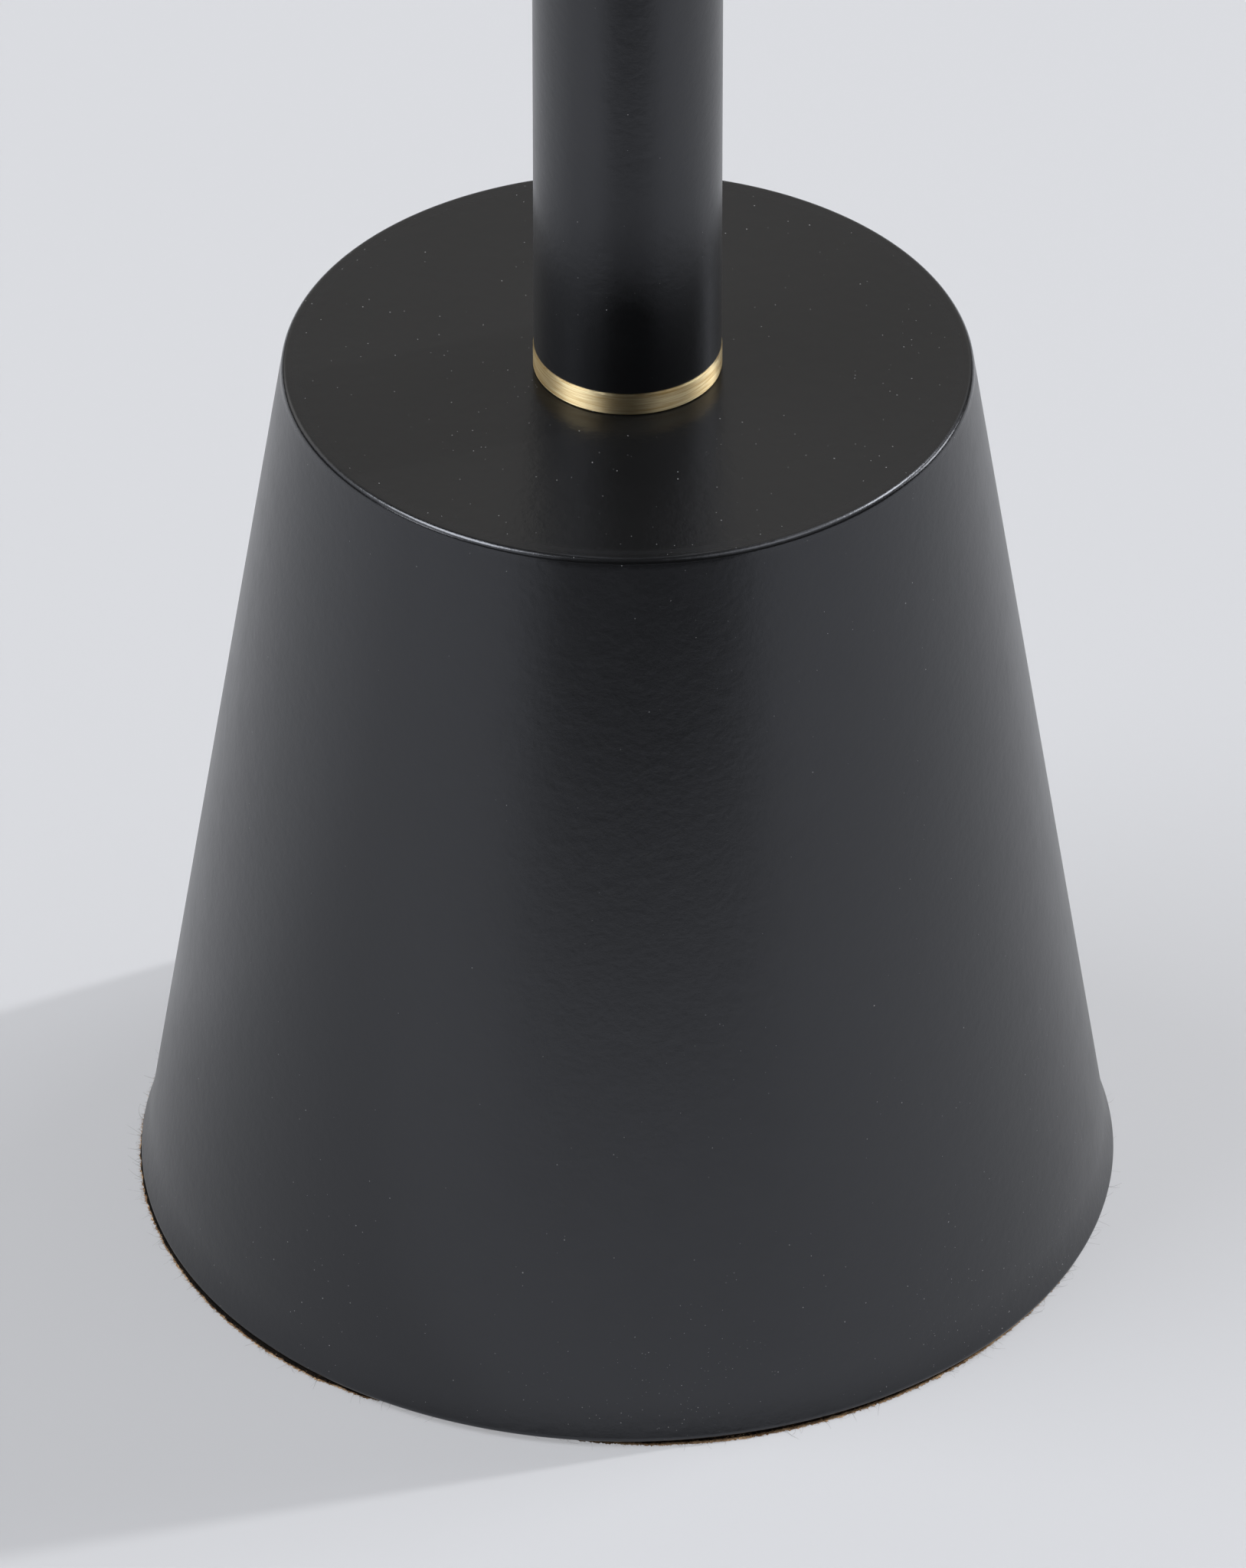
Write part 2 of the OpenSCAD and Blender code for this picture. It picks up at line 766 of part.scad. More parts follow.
// Two round-ended ears on a pad that fits the cup's wall
module head_bracket() {
    reach = cup_x - hinge_x - sqrt(pow(cup_d / 2, 2) - pow(ear_out_y, 2)) + past;
    color(satin_black)
        difference() {
            union() {
                for (y = [-ear_out_y, ear_in_y]) {
                    along_tilt(y) cylinder(h = ear_t, r = ear_r);
                    translate([hinge_x, y, arm_z - web_h / 2]) cube([reach, ear_t, web_h]);
                }
                translate([pad_x, -ear_out_y, arm_z - web_h / 2])
                    cube([hinge_x + reach - pad_x, 2 * ear_out_y, web_h]);
            }
            on_head(cup_z) cylinder(h = cup_h, r = cup_d / 2 + run_gap);
            along_tilt(-2 * ear_out_y) cylinder(h = 4 * ear_out_y, r = bolt_d / 2 + run_gap);
            at_bracket_screws()
                cylinder(h = cup_d / 2 + bracket_screw_in + run_gap, r = bracket_screw_d / 2 + run_gap);
        }
}

module bracket_screws() {
    seat = cup_in_r - crown(cup_in_r, head_r(bracket_screw_d)) - run_gap;
    color(bare_steel)
        at_bracket_screws() {
            translate([0, 0, seat - head_t(bracket_screw_d)])
                cylinder(h = head_t(bracket_screw_d), r = head_r(bracket_screw_d));
            translate([0, 0, seat])
                cylinder(h = cup_d / 2 + bracket_screw_in - seat, r = bracket_screw_d / 2);
        }
}

module tilt_bolt() {
    stud_end_y = tilt_knob_y + tilt_knob_h / 2;
    color(brass) {
        along_tilt(-ear_out_y - bolt_head_t) ring(bolt_head_t, bolt_head_d / 2, 0, knob_edge);
        along_tilt(-ear_out_y) cylinder(h = 2 * ear_out_y, r = bolt_d / 2);
        along_tilt(ear_out_y) cylinder(h = stud_end_y - ear_out_y, r = stud_d / 2);
    }
}

module tilt_washers() {
    color(black_nylon)
        for (y = [-ear_in_y, ear_in_y - friction_t])
            along_tilt(y) tube(friction_t, eye_r, bolt_d / 2 + seat_gap);
}

module tilt_knob() {
    color(brass)
        along_tilt(tilt_knob_y)
            fluted_knob(tilt_knob_h, tilt_knob_d / 2, stud_d / 2 + run_gap, tilt_knob_h / 2 + wall_gap);
}

// Head

module socket_cup() {
    corner_r = cup_d / 2 - cup_edge_r;
    corner_z = cup_top_z - cup_edge_r;
    hole_r = switch_neck_d / 2 + seat_gap;
    color(satin_black)
        difference() {
            on_head(0)
                rotate_extrude()
                    polygon(concat(
                        [[cup_in_r, cup_z], [cup_d / 2, cup_z]],
                        arc(corner_r, corner_z, cup_edge_r, 0, 90),
                        [[hole_r, cup_top_z], [hole_r, cup_top_z - cup_wall]],
                        arc(corner_r, corner_z, cup_edge_r - cup_wall, 90, 0)
                    ));
            on_head(cup_top_z - vent_down)
                for (i = [0 : vents_n - 1])
                    rotate([0, 0, 360 * (i + 0.5) / vents_n])
                        rotate([0, 90, 0])
                            cylinder(h = cup_d, r = vent_d / 2);
            at_bracket_screws() cylinder(h = cup_d, r = bracket_screw_d / 2 + seat_gap);
            at_cup_screws() cylinder(h = cup_d, r = cup_screw_d / 2 + seat_gap);
        }
}

module cup_screws() {
    seat = cup_d / 2 + run_gap;
    tip = holder_flange_r - cup_screw_in;
    color(bare_steel)
        at_cup_screws() {
            translate([0, 0, seat]) cylinder(h = head_t(cup_screw_d), r = head_r(cup_screw_d));
            translate([0, 0, tip]) cylinder(h = seat - tip, r = cup_screw_d / 2);
        }
}

module neck_ring() {
    color(brass) on_head(neck_z) ring(ring_h, cup_ring_r, holder_hole_r, brass_edge);
}

module lampholder() {
    mouth_r = screw_shell_r + seat_gap;
    flange_top = cup_z + holder_flange_h;
    color(ivory)
        difference() {
            on_head(0)
                rotate_extrude()
                    polygon([
                        [mouth_r, shade_ring_z],
                        [holder_r, shade_ring_z],
                        [holder_r, cup_z],
                        [holder_flange_r, cup_z],
                        [holder_flange_r, flange_top],
                        [holder_neck_d / 2, flange_top + holder_flange_r - holder_neck_d / 2],
                        [holder_neck_d / 2, holder_top_z],
                        [0, holder_top_z],
                        [0, ceiling_z],
                        [mouth_r, ceiling_z]
                    ]);
            at_cup_screws()
                translate([0, 0, holder_flange_r - cup_screw_in - run_gap])
                    cylinder(h = cup_d, r = cup_screw_d / 2 + run_gap);
        }
}

module screw_shell() {
    color(brass) on_head(ceiling_z - screw_shell_l) tube(screw_shell_l, screw_shell_r, screw_shell_in_r);
}

module centre_contact() {
    color(brass) on_head(bulb_tip_z) cylinder(h = contact_t, r = contact_d / 2);
}

module shade() {
    edge_z = neck_z - shade_edge_r;
    under_z = neck_z - shade_wall;
    bead_r = shade_bead_d / 2;
    bead_z = shade_foot_z + bead_r;
    color(satin_black)
        on_head(0)
            rotate_extrude() {
                polygon(concat(
                    [[shade_r(bead_z), bead_z]],
                    arc(shade_r(edge_z) - shade_edge_r / cos(base_tilt), edge_z, shade_edge_r, base_tilt, 90),
                    [[holder_hole_r, neck_z], [holder_hole_r, under_z]],
                    [[shade_r(under_z) - shade_t, under_z], [shade_r(bead_z) - shade_t, bead_z]]
                ));
                translate([shade_r(bead_z) - shade_t / 2, bead_z]) circle(r = bead_r);
            }
}

module shade_ring() {
    ring_out_r = holder_r + shade_ring_w;
    color(ivory)
        on_head(shade_ring_z)
            difference() {
                tube(shade_ring_h, ring_out_r, holder_r + run_gap);
                for (i = [0 : shade_ring_notches - 1])
                    rotate([0, 0, 360 * i / shade_ring_notches])
                        translate([ring_out_r + shade_ring_w / 8, 0, -past])
                            cylinder(h = shade_ring_h + 2 * past, r = shade_ring_w / 4, $fn = 24);
            }
}

module bulb_cap() {
    color(bare_steel)
        on_head(bulb_cap_z)
            rotate_extrude()
                polygon([
                    [0, 0], [bulb_cap_d / 2, 0],
                    [bulb_cap_d / 2, bulb_cap_l - bulb_tip_l],
                    [bulb_tip_d / 2, bulb_cap_l], [0, bulb_cap_l]
                ]);
}

module bulb_glass() {
    steps = 20;
    neck_r = bulb_cap_d / 2;
    round_depth = bulb_l - bulb_d / 2;
    inner_l = bulb_l - bulb_wall;
    color(frosted)
        on_head(bulb_cap_z)
            rotate_extrude()
                polygon(concat(
                    [for (i = [0 : steps])
                        let (depth = bulb_l * sin(90 * i / steps))
                        [bulb_r(depth, neck_r, bulb_d / 2, round_depth), -depth]],
                    [for (i = [steps : -1 : 0])
                        let (depth = inner_l * sin(90 * i / steps))
                        [bulb_r(depth, neck_r - bulb_wall, bulb_d / 2 - bulb_wall, round_depth), -depth]]
                ));
}

// Switch

module switch_body() {
    body_top_z = cup_top_z - cup_wall;
    color(black_nylon)
        difference() {
            union() {
                on_head(body_top_z - switch_h) cylinder(h = switch_h, r = switch_d / 2);
                on_head(body_top_z) cylinder(h = cup_wall + switch_neck_h, r = switch_neck_d / 2);
            }
            on_head(cup_top_z - shaft_in - wall_gap)
                cylinder(h = shaft_in + switch_neck_h + past, r = shaft_d / 2 + run_gap);
        }
}

module switch_nut() {
    color(bare_steel)
        on_head(cup_top_z) hex_nut(switch_nut_t, switch_nut_r, switch_neck_d / 2 + run_gap);
}

// The knob's skirt covers the nut
module switch_knob() {
    knob_h = cup_top_z + switch_knob_h - switch_knob_z;
    color(brass)
        difference() {
            on_head(switch_knob_z)
                fluted_knob(knob_h, switch_knob_d / 2, switch_nut_r + wall_gap, knob_ceiling_z - switch_knob_z);
            on_head(knob_ceiling_z - past) cylinder(h = past + shaft_seat, r = shaft_d / 2 + run_gap);
        }
}

module switch_shaft() {
    color(bare_steel)
        on_head(cup_top_z - shaft_in)
            cylinder(h = knob_ceiling_z + shaft_seat - cup_top_z + shaft_in, r = shaft_d / 2);
}

felt_pad();
bottom_plate();
plate_screws();
ballast();
rod_washer();
rod_nut();
base_rod();
base_shell();
cord_bushing();
bushing_nut();
base_ring();
pole_foot_plug();
pole_lower();
pole_coupler();
pole_upper();
swivel_bush();
thrust_washer();
swivel_cap();
stop_pin();
swivel_spindle();
spindle_washer();
spindle_nut();
arm_tube();
arm_locknut();
arm_eye();
head_bracket();
bracket_screws();
tilt_bolt();
tilt_washers();
socket_cup();
cup_screws();
neck_ring();
lampholder();
screw_shell();
centre_contact();
shade();
shade_ring();
bulb_cap();
bulb_glass();
switch_body();
switch_nut();
tilt_knob();
switch_knob();
switch_shaft();
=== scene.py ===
"""Looks of the floor lamp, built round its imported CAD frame. Metres, +Z up, the arm along +X."""

import json
import math
import random

import bmesh
import bpy
from mathutils import Matrix, Vector, noise


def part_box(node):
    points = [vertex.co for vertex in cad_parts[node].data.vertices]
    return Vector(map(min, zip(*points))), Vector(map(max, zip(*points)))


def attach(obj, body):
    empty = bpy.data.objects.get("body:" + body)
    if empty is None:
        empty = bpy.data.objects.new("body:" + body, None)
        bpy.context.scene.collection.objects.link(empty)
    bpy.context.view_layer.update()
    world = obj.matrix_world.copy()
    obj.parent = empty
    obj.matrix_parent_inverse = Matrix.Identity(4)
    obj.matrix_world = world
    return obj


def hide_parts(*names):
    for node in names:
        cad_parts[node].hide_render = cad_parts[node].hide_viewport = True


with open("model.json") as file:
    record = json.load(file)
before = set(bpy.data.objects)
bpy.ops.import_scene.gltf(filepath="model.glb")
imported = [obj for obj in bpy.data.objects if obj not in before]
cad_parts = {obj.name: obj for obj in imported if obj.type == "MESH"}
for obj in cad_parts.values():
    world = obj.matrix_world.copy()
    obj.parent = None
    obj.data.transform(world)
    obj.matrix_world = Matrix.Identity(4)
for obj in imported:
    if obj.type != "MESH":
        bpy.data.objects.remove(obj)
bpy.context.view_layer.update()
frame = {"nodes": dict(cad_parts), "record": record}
nodes = frame["nodes"]
scene = bpy.context.scene
scene.view_settings.view_transform = "Standard"
MM = 0.001

# Camera at the photograph's angle

CAMERA_TARGET = Vector((-0.93 * MM, 0, 93.7 * MM))
CAMERA_ELEVATION = math.radians(35.84)
CAMERA_DISTANCE = 3.160
CAMERA_LENS = 351.6
CAMERA_SENSOR = 36
CAMERA_CLIP_END = 200

camera_data = bpy.data.cameras.new("photo_camera")
camera_data.lens = CAMERA_LENS
camera_data.sensor_width = CAMERA_SENSOR
camera_data.clip_end = CAMERA_CLIP_END
camera = bpy.data.objects.new("photo_camera", camera_data)
scene.collection.objects.link(camera)
back = Vector((0, -math.cos(CAMERA_ELEVATION), math.sin(CAMERA_ELEVATION)))
camera.location = CAMERA_TARGET + back * CAMERA_DISTANCE
camera.rotation_mode = "QUATERNION"
camera.rotation_quaternion = (-back).to_track_quat("-Z", "Y")
scene.camera = camera

# Places, from the frame

base_low, base_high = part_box("base_shell")
arm_low, arm_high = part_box("arm_tube")
knob_low, knob_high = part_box("tilt_knob")
cup_low, cup_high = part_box("socket_cup")
shade_low, shade_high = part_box("shade")
plate_z = base_high.z
arm_z = (arm_low.z + arm_high.z) / 2
hinge_x = (knob_low.x + knob_high.x) / 2
head_x = (cup_low.x + cup_high.x) / 2
head_place = Matrix.Translation((head_x, 0, 0))

# Sizes that several pieces share; the edge step is the short flat beside a rounded edge that keeps it crisp

BASE_FOOT_R = 101.2 * MM
BASE_TOP_R = 70 * MM
BASE_SLOPE = (BASE_FOOT_R - BASE_TOP_R) / (base_high.z - base_low.z)
BASE_TILT = math.atan(BASE_SLOPE)
EDGE_STEP = 0.3 * MM

# Shader helpers

MIX_FIRST, MIX_SECOND, MIX_COLOUR = 6, 7, 2


def add(tree, kind, inputs=None, **settings):
    """Adds a node. An input is a value or another node's socket."""
    node = tree.nodes.new(kind)
    for key, value in settings.items():
        setattr(node, key, value)
    for socket, value in (inputs or {}).items():
        if isinstance(value, bpy.types.NodeSocket):
            tree.links.new(value, node.inputs[socket])
        else:
            node.inputs[socket].default_value = value
    return node


def new_material(name, **constants):
    """A material with one Principled shader, whose constants are set on its own sockets."""
    material = bpy.data.materials.new(name)
    material.use_nodes = True
    tree = material.node_tree
    shader = tree.nodes["Principled BSDF"]
    for key, value in constants.items():
        shader.inputs[key.replace("_", " ")].default_value = value
    return material, tree, shader


def grain(tree, where, scale, detail=2.0, roughness=0.5):
    """Noise from 0 to 1 at that many waves per metre."""
    inputs = {"Vector": where, "Scale": scale, "Detail": detail, "Roughness": roughness}
    return add(tree, "ShaderNodeTexNoise", inputs).outputs["Fac"]


def remap(tree, value, low, high, to_low, to_high, smooth=False):
    """Maps low..high to to_low..to_high, held at the ends."""
    inputs = {"Value": value, "From Min": low, "From Max": high, "To Min": to_low, "To Max": to_high}
    kind = "SMOOTHSTEP" if smooth else "LINEAR"
    return add(tree, "ShaderNodeMapRange", inputs, interpolation_type=kind).outputs["Result"]


def calc(tree, operation, first, second=0.0):
    """One Math node."""
    return add(tree, "ShaderNodeMath", {0: first, 1: second}, operation=operation).outputs[0]


def product(tree, first, *rest):
    """Multiplies values and sockets."""
    for value in rest:
        first = calc(tree, "MULTIPLY", first, value)
    return first


def total(tree, first, *rest):
    """Adds values and sockets up."""
    for value in rest:
        first = calc(tree, "ADD", first, value)
    return first


def vector_calc(tree, operation, *values):
    """One Vector Math node."""
    return add(tree, "ShaderNodeVectorMath", dict(enumerate(values)), operation=operation).outputs[0]


def blend_colour(tree, factor, first, second):
    """Mixes two colours by a factor."""
    inputs = {"Factor": factor, MIX_FIRST: first, MIX_SECOND: second}
    return add(tree, "ShaderNodeMix", inputs, data_type="RGBA").outputs[MIX_COLOUR]


def grey(level, warm=0.0):
    """A near-neutral colour; warm above 0 takes blue out."""
    return (level * (1 + warm), level, level * (1 - warm), 1)


def bump(tree, height, distance, shader, normal=None):
    """Links a height to the shader's normal, at that depth in metres."""
    inputs = {"Height": height, "Distance": distance, "Strength": 1.0}
    if normal is not None:
        inputs["Normal"] = normal
    node = add(tree, "ShaderNodeBump", inputs)
    tree.links.new(node.outputs["Normal"], shader.inputs["Normal"])


def object_place(tree):
    """The surface's place in the frame."""
    return add(tree, "ShaderNodeTexCoord").outputs["Object"]


def dust(tree, where, scale, size, share):
    """Sparse specks of uneven size and strength: up to 1 inside a speck, 0 elsewhere."""
    cells = add(tree, "ShaderNodeTexVoronoi", {"Vector": where, "Scale": scale}, feature="F1")
    chance = add(tree, "ShaderNodeSeparateColor", {"Color": cells.outputs["Color"]}).outputs
    reach = remap(tree, chance[1], 0, 1, size * 0.4, size)
    near = calc(tree, "LESS_THAN", cells.outputs["Distance"], reach)
    there = product(tree, near, calc(tree, "LESS_THAN", chance[0], share))
    return product(tree, there, remap(tree, chance[2], 0, 1, 0.25, 1.0))


# Materials

PAINT_LEVEL = 0.0040
DUST_LEVEL = 0.45
DUST_ROUGHNESS = 0.9
PLATE_GLOSS = 0.74
RIM_GLOSS = 0.7


def paint_dust(tree, where, along_arm, height):
    """Dust on the paint: specks low down and on the base's top, and finer drifts at the foot's right."""
    low = remap(tree, height, 0.0, 90 * MM, 0.34, 0.05)
    onto_plate = remap(tree, height, plate_z - 9 * MM, plate_z, 0.0, 0.30)
    top = product(tree, onto_plate, remap(tree, height, plate_z, plate_z + 81 * MM, 1.0, 0.1))
    patches = remap(tree, grain(tree, where, 45, 2), 0.42, 0.68, 0.15, 1.5)
    share = product(tree, calc(tree, "MAXIMUM", low, top), patches)
    specks = dust(tree, where, 700, 0.105, share)
    to_right = remap(tree, along_arm, -60 * MM, 30 * MM, 0.12, 1.0)
    foot = product(tree, remap(tree, height, 6 * MM, 34 * MM, 0.9, 0.05), to_right)
    drifts = remap(tree, grain(tree, where, 38, 3), 0.47, 0.66, 0.06, 1.0)
    fine_share = product(tree, calc(tree, "MAXIMUM", foot, product(tree, top, 0.35)), drifts)
    fine = dust(tree, where, 1400, 0.135, fine_share)
    return calc(tree, "MAXIMUM", specks, fine)


def paint_roughness(tree, where, height, clouds):
    """The paint's roughness: faint clouds and rubs, less of it on the base's top plate and rubbed rim."""
    rubs = grain(tree, where, 120, 5, 0.65)
    rough = total(
        tree,
        remap(tree, clouds, 0.3, 0.7, 0.295, 0.33),
        remap(tree, rubs, 0.45, 0.75, 0.0, 0.03),
    )
    level_place = vector_calc(tree, "MULTIPLY", where, (1, 1, 0))
    from_axis = add(tree, "ShaderNodeVectorMath", {0: level_place}, operation="LENGTH").outputs["Value"]
    plate = product(
        tree,
        remap(tree, height, plate_z - 0.4 * MM, plate_z - 0.1 * MM, 0.0, 1.0),
        remap(tree, height, plate_z + 0.1 * MM, plate_z + 0.4 * MM, 1.0, 0.0),
        remap(tree, from_axis, BASE_TOP_R - 4 * MM, BASE_TOP_R - 2.5 * MM, 1.0, 0.0),
    )
    rim = product(
        tree,
        remap(tree, height, plate_z - 2.5 * MM, plate_z - 1 * MM, 0.0, 1.0),
        remap(tree, from_axis, BASE_TOP_R - 3 * MM, BASE_TOP_R - 1 * MM, 0.0, 1.0),
    )
    return product(
        tree,
        rough,
        remap(tree, plate, 0.0, 1.0, 1.0, PLATE_GLOSS),
        remap(tree, rim, 0.0, 1.0, 1.0, RIM_GLOSS),
    )


def satin_black(name):
    """Satin black paint: faint clouds in its gloss, fine orange peel and a little dust."""
    material, tree, shader = new_material(
        name,
        IOR=1.5,
        Specular_IOR_Level=0.80,
        Specular_Tint=(0.905, 0.93, 1.0, 1),
        Sheen_Weight=0.08,
        Sheen_Roughness=0.35,
    )
    where = object_place(tree)
    along_arm, _, height = add(tree, "ShaderNodeSeparateXYZ", {0: where}).outputs
    clouds = grain(tree, where, 16, 4, 0.6)
    specks = paint_dust(tree, where, along_arm, height)
    paint = blend_colour(tree, clouds, grey(PAINT_LEVEL * 0.85), grey(PAINT_LEVEL * 1.15))
    colour = blend_colour(tree, specks, paint, grey(DUST_LEVEL))
    tree.links.new(colour, shader.inputs["Base Color"])
    rough = paint_roughness(tree, where, height, clouds)
    rough = calc(tree, "MAXIMUM", rough, product(tree, specks, DUST_ROUGHNESS))
    tree.links.new(rough, shader.inputs["Roughness"])
    peel = total(
        tree,
        grain(tree, where, 700, 2),
        product(tree, grain(tree, where, 3200, 1), 0.3),
        product(tree, grain(tree, where, 300, 3), 1.6),
    )
    bump(tree, peel, 0.03 * MM, shader)
    return material


def brushed_brass(name, axis, origin):
    """Brass brushed round an axis through origin: lines of uneven tone and gloss that follow the turning."""
    deep, pale, tarnish = (0.66, 0.455, 0.185, 1), (1.0, 0.885, 0.59, 1), (0.40, 0.265, 0.11, 1)
    material, tree, shader = new_material(name, Metallic=1.0, Anisotropic=1.0, Anisotropic_Rotation=0.25)
    where = object_place(tree)
    local = vector_calc(tree, "SUBTRACT", where, tuple(origin))
    parts = add(tree, "ShaderNodeSeparateXYZ", {0: local}).outputs
    along = parts["XYZ".index(axis)]
    across = [parts[i] for i in range(3) if "XYZ"[i] != axis]
    radius = calc(tree, "SQRT", total(tree, *[product(tree, p, p) for p in across]))
    line_place = total(tree, along, radius)

    def lines(turn_scale, line_scale, detail):
        """Noise drawn out round the axis."""
        inputs = {
            0: product(tree, across[0], turn_scale),
            1: product(tree, across[1], turn_scale),
            2: product(tree, line_place, line_scale),
        }
        return grain(tree, add(tree, "ShaderNodeCombineXYZ", inputs).outputs[0], 1.0, detail, 0.6)

    broad = lines(70, 1500, 3)
    fine = lines(160, 7000, 3)
    tone = total(tree, product(tree, broad, 0.5), product(tree, fine, 0.5))
    bright = blend_colour(tree, remap(tree, tone, 0.37, 0.63, 0.0, 1.0), deep, pale)
    patches = remap(tree, grain(tree, where, 90, 3), 0.5, 0.8, 0.0, 0.35)
    tree.links.new(blend_colour(tree, patches, bright, tarnish), shader.inputs["Base Color"])
    tree.links.new(remap(tree, tone, 0.3, 0.7, 0.62, 0.52), shader.inputs["Roughness"])
    turn = add(tree, "ShaderNodeTangent", direction_type="RADIAL", axis=axis).outputs[0]
    tree.links.new(turn, shader.inputs["Tangent"])
    lean = remap(tree, lines(260, 9000, 2), 0.25, 0.75, -0.06, 0.06)
    normal = add(tree, "ShaderNodeNewGeometry").outputs["Normal"]
    leaning = vector_calc(tree, "NORMALIZE", vector_calc(tree, "MULTIPLY_ADD", turn, lean, normal))
    bump(tree, tone, 0.006 * MM, shader, leaning)
    return material


def zinc_steel(name):
    """Plated steel with a crystalline mottle."""
    material, tree, shader = new_material(name, Metallic=1.0)
    where = object_place(tree)
    mottle = grain(tree, where, 420, 4, 0.6)
    colour = blend_colour(tree, mottle, grey(0.42, 0.02), grey(0.62, 0.03))
    tree.links.new(colour, shader.inputs["Base Color"])
    tree.links.new(remap(tree, mottle, 0.3, 0.7, 0.28, 0.42), shader.inputs["Roughness"])
    bump(tree, grain(tree, where, 2600, 2), 0.006 * MM, shader)
    return material


def cast_iron(name):
    """Sand-cast iron: coarse grain and rust-brown patches."""
    material, tree, shader = new_material(name, Metallic=0.6)
    where = object_place(tree)
    grains = grain(tree, where, 900, 4, 0.65)
    rust = remap(tree, grain(tree, where, 60, 4, 0.6), 0.5, 0.7, 0.0, 0.6)
    colour = blend_colour(tree, rust, grey(0.06), (0.10, 0.055, 0.03, 1))
    tree.links.new(colour, shader.inputs["Base Color"])
    tree.links.new(remap(tree, grains, 0.3, 0.7, 0.6, 0.85), shader.inputs["Roughness"])
    bump(tree, grains, 0.12 * MM, shader)
    return material


def black_nylon(name):
    """Moulded nylon with a fine spark texture."""
    material, tree, shader = new_material(name, IOR=1.53)
    where = object_place(tree)
    spark = grain(tree, where, 2200, 3, 0.6)
    flow = grain(tree, where, 70, 3)
    tree.links.new(blend_colour(tree, flow, grey(0.012), grey(0.022)), shader.inputs["Base Color"])
    tree.links.new(remap(tree, spark, 0.3, 0.7, 0.42, 0.58), shader.inputs["Roughness"])
    bump(tree, spark, 0.01 * MM, shader)
    return material


def phenolic(name):
    """Cream moulded lampholder plastic with faint flow marks."""
    material, tree, shader = new_material(name, IOR=1.55)
    where = object_place(tree)
    flow = grain(tree, where, 110, 4, 0.6)
    colour = blend_colour(tree, flow, (0.62, 0.56, 0.44, 1), (0.74, 0.69, 0.57, 1))
    tree.links.new(colour, shader.inputs["Base Color"])
    tree.links.new(remap(tree, flow, 0.3, 0.7, 0.28, 0.4), shader.inputs["Roughness"])
    bump(tree, grain(tree, where, 1500, 2), 0.008 * MM, shader)
    return material


def white_paint(name):
    """Matt white paint of the shade's inside: a fine sprayed texture and a faint haze of tone."""
    material, tree, shader = new_material(name, IOR=1.48)
    where = object_place(tree)
    spray = grain(tree, where, 1300, 3, 0.6)
    haze = grain(tree, where, 25, 3)
    colour = blend_colour(tree, haze, (0.80, 0.795, 0.77, 1), (0.86, 0.855, 0.835, 1))
    tree.links.new(colour, shader.inputs["Base Color"])
    tree.links.new(remap(tree, spray, 0.3, 0.7, 0.5, 0.66), shader.inputs["Roughness"])
    bump(tree, spray, 0.014 * MM, shader)
    return material


def frosted_glass(name):
    """A bulb's inside-frosted glass: milky, with a faint mottle and a clear outer gloss."""
    material, tree, shader = new_material(
        name, IOR=1.5, Coat_Weight=0.5, Coat_Roughness=0.06, Subsurface_Weight=0.25, Subsurface_Scale=0.01
    )
    where = object_place(tree)
    frost = grain(tree, where, 900, 3, 0.6)
    milk = grain(tree, where, 45, 3)
    colour = blend_colour(tree, milk, (0.80, 0.80, 0.77, 1), (0.90, 0.90, 0.88, 1))
    tree.links.new(colour, shader.inputs["Base Color"])
    tree.links.new(remap(tree, frost, 0.3, 0.7, 0.32, 0.46), shader.inputs["Roughness"])
    bump(tree, frost, 0.006 * MM, shader)
    return material


def wool_felt(name, dark, light, sheen):
    """Pressed felt: tangled fibres of uneven tone with a soft sheen."""
    material, tree, shader = new_material(
        name, IOR=1.4, Roughness=0.95, Specular_IOR_Level=0.1, Sheen_Weight=sheen, Sheen_Roughness=0.6
    )
    where = object_place(tree)
    tangle = grain(tree, where, 2400, 5, 0.7)
    clumps = grain(tree, where, 300, 3)
    tone = product(tree, total(tree, tangle, clumps), 0.5)
    colour = blend_colour(tree, remap(tree, tone, 0.40, 0.62, 0.0, 1.0), dark, light)
    tree.links.new(colour, shader.inputs["Base Color"])
    bump(tree, tangle, 0.12 * MM, shader)
    return material


FLOOR_GLOW = 0.350


def pale_floor(name):
    """The studio's plain pale floor: a matt light table, whose own paleness shows but lights nothing."""
    material, tree, shader = new_material(
        name, IOR=1.45, Specular_IOR_Level=0.05, Emission_Color=(0.986, 0.993, 1.03, 1)
    )
    where = object_place(tree)
    haze = grain(tree, where, 2.2, 3)
    colour = blend_colour(tree, haze, (0.204, 0.207, 0.215, 1), (0.2125, 0.215, 0.2235, 1))
    tree.links.new(colour, shader.inputs["Base Color"])
    tree.links.new(remap(tree, haze, 0.3, 0.7, 0.65, 0.75), shader.inputs["Roughness"])
    rays = add(tree, "ShaderNodeLightPath").outputs
    shown = calc(tree, "MAXIMUM", rays["Is Camera Ray"], rays["Is Glossy Ray"])
    shown = calc(tree, "MAXIMUM", shown, rays["Is Transmission Ray"])
    tree.links.new(product(tree, shown, FLOOR_GLOW), shader.inputs["Emission Strength"])
    return material


# Mesh helpers

ON_AXIS = 1e-7
SHARP_ANGLE = math.radians(32)


def object_from(bm, name, materials, sharp=SHARP_ANGLE):
    """Makes a mesh object from a bmesh, smooth but for its sharp edges."""
    bmesh.ops.recalc_face_normals(bm, faces=bm.faces)
    for face in bm.faces:
        face.smooth = True
    mesh = bpy.data.meshes.new(name)
    bm.to_mesh(mesh)
    bm.free()
    mesh.set_sharp_from_angle(angle=sharp)
    for material in materials:
        mesh.materials.append(material)
    made = bpy.data.objects.new(name, mesh)
    scene.collection.objects.link(made)
    return made


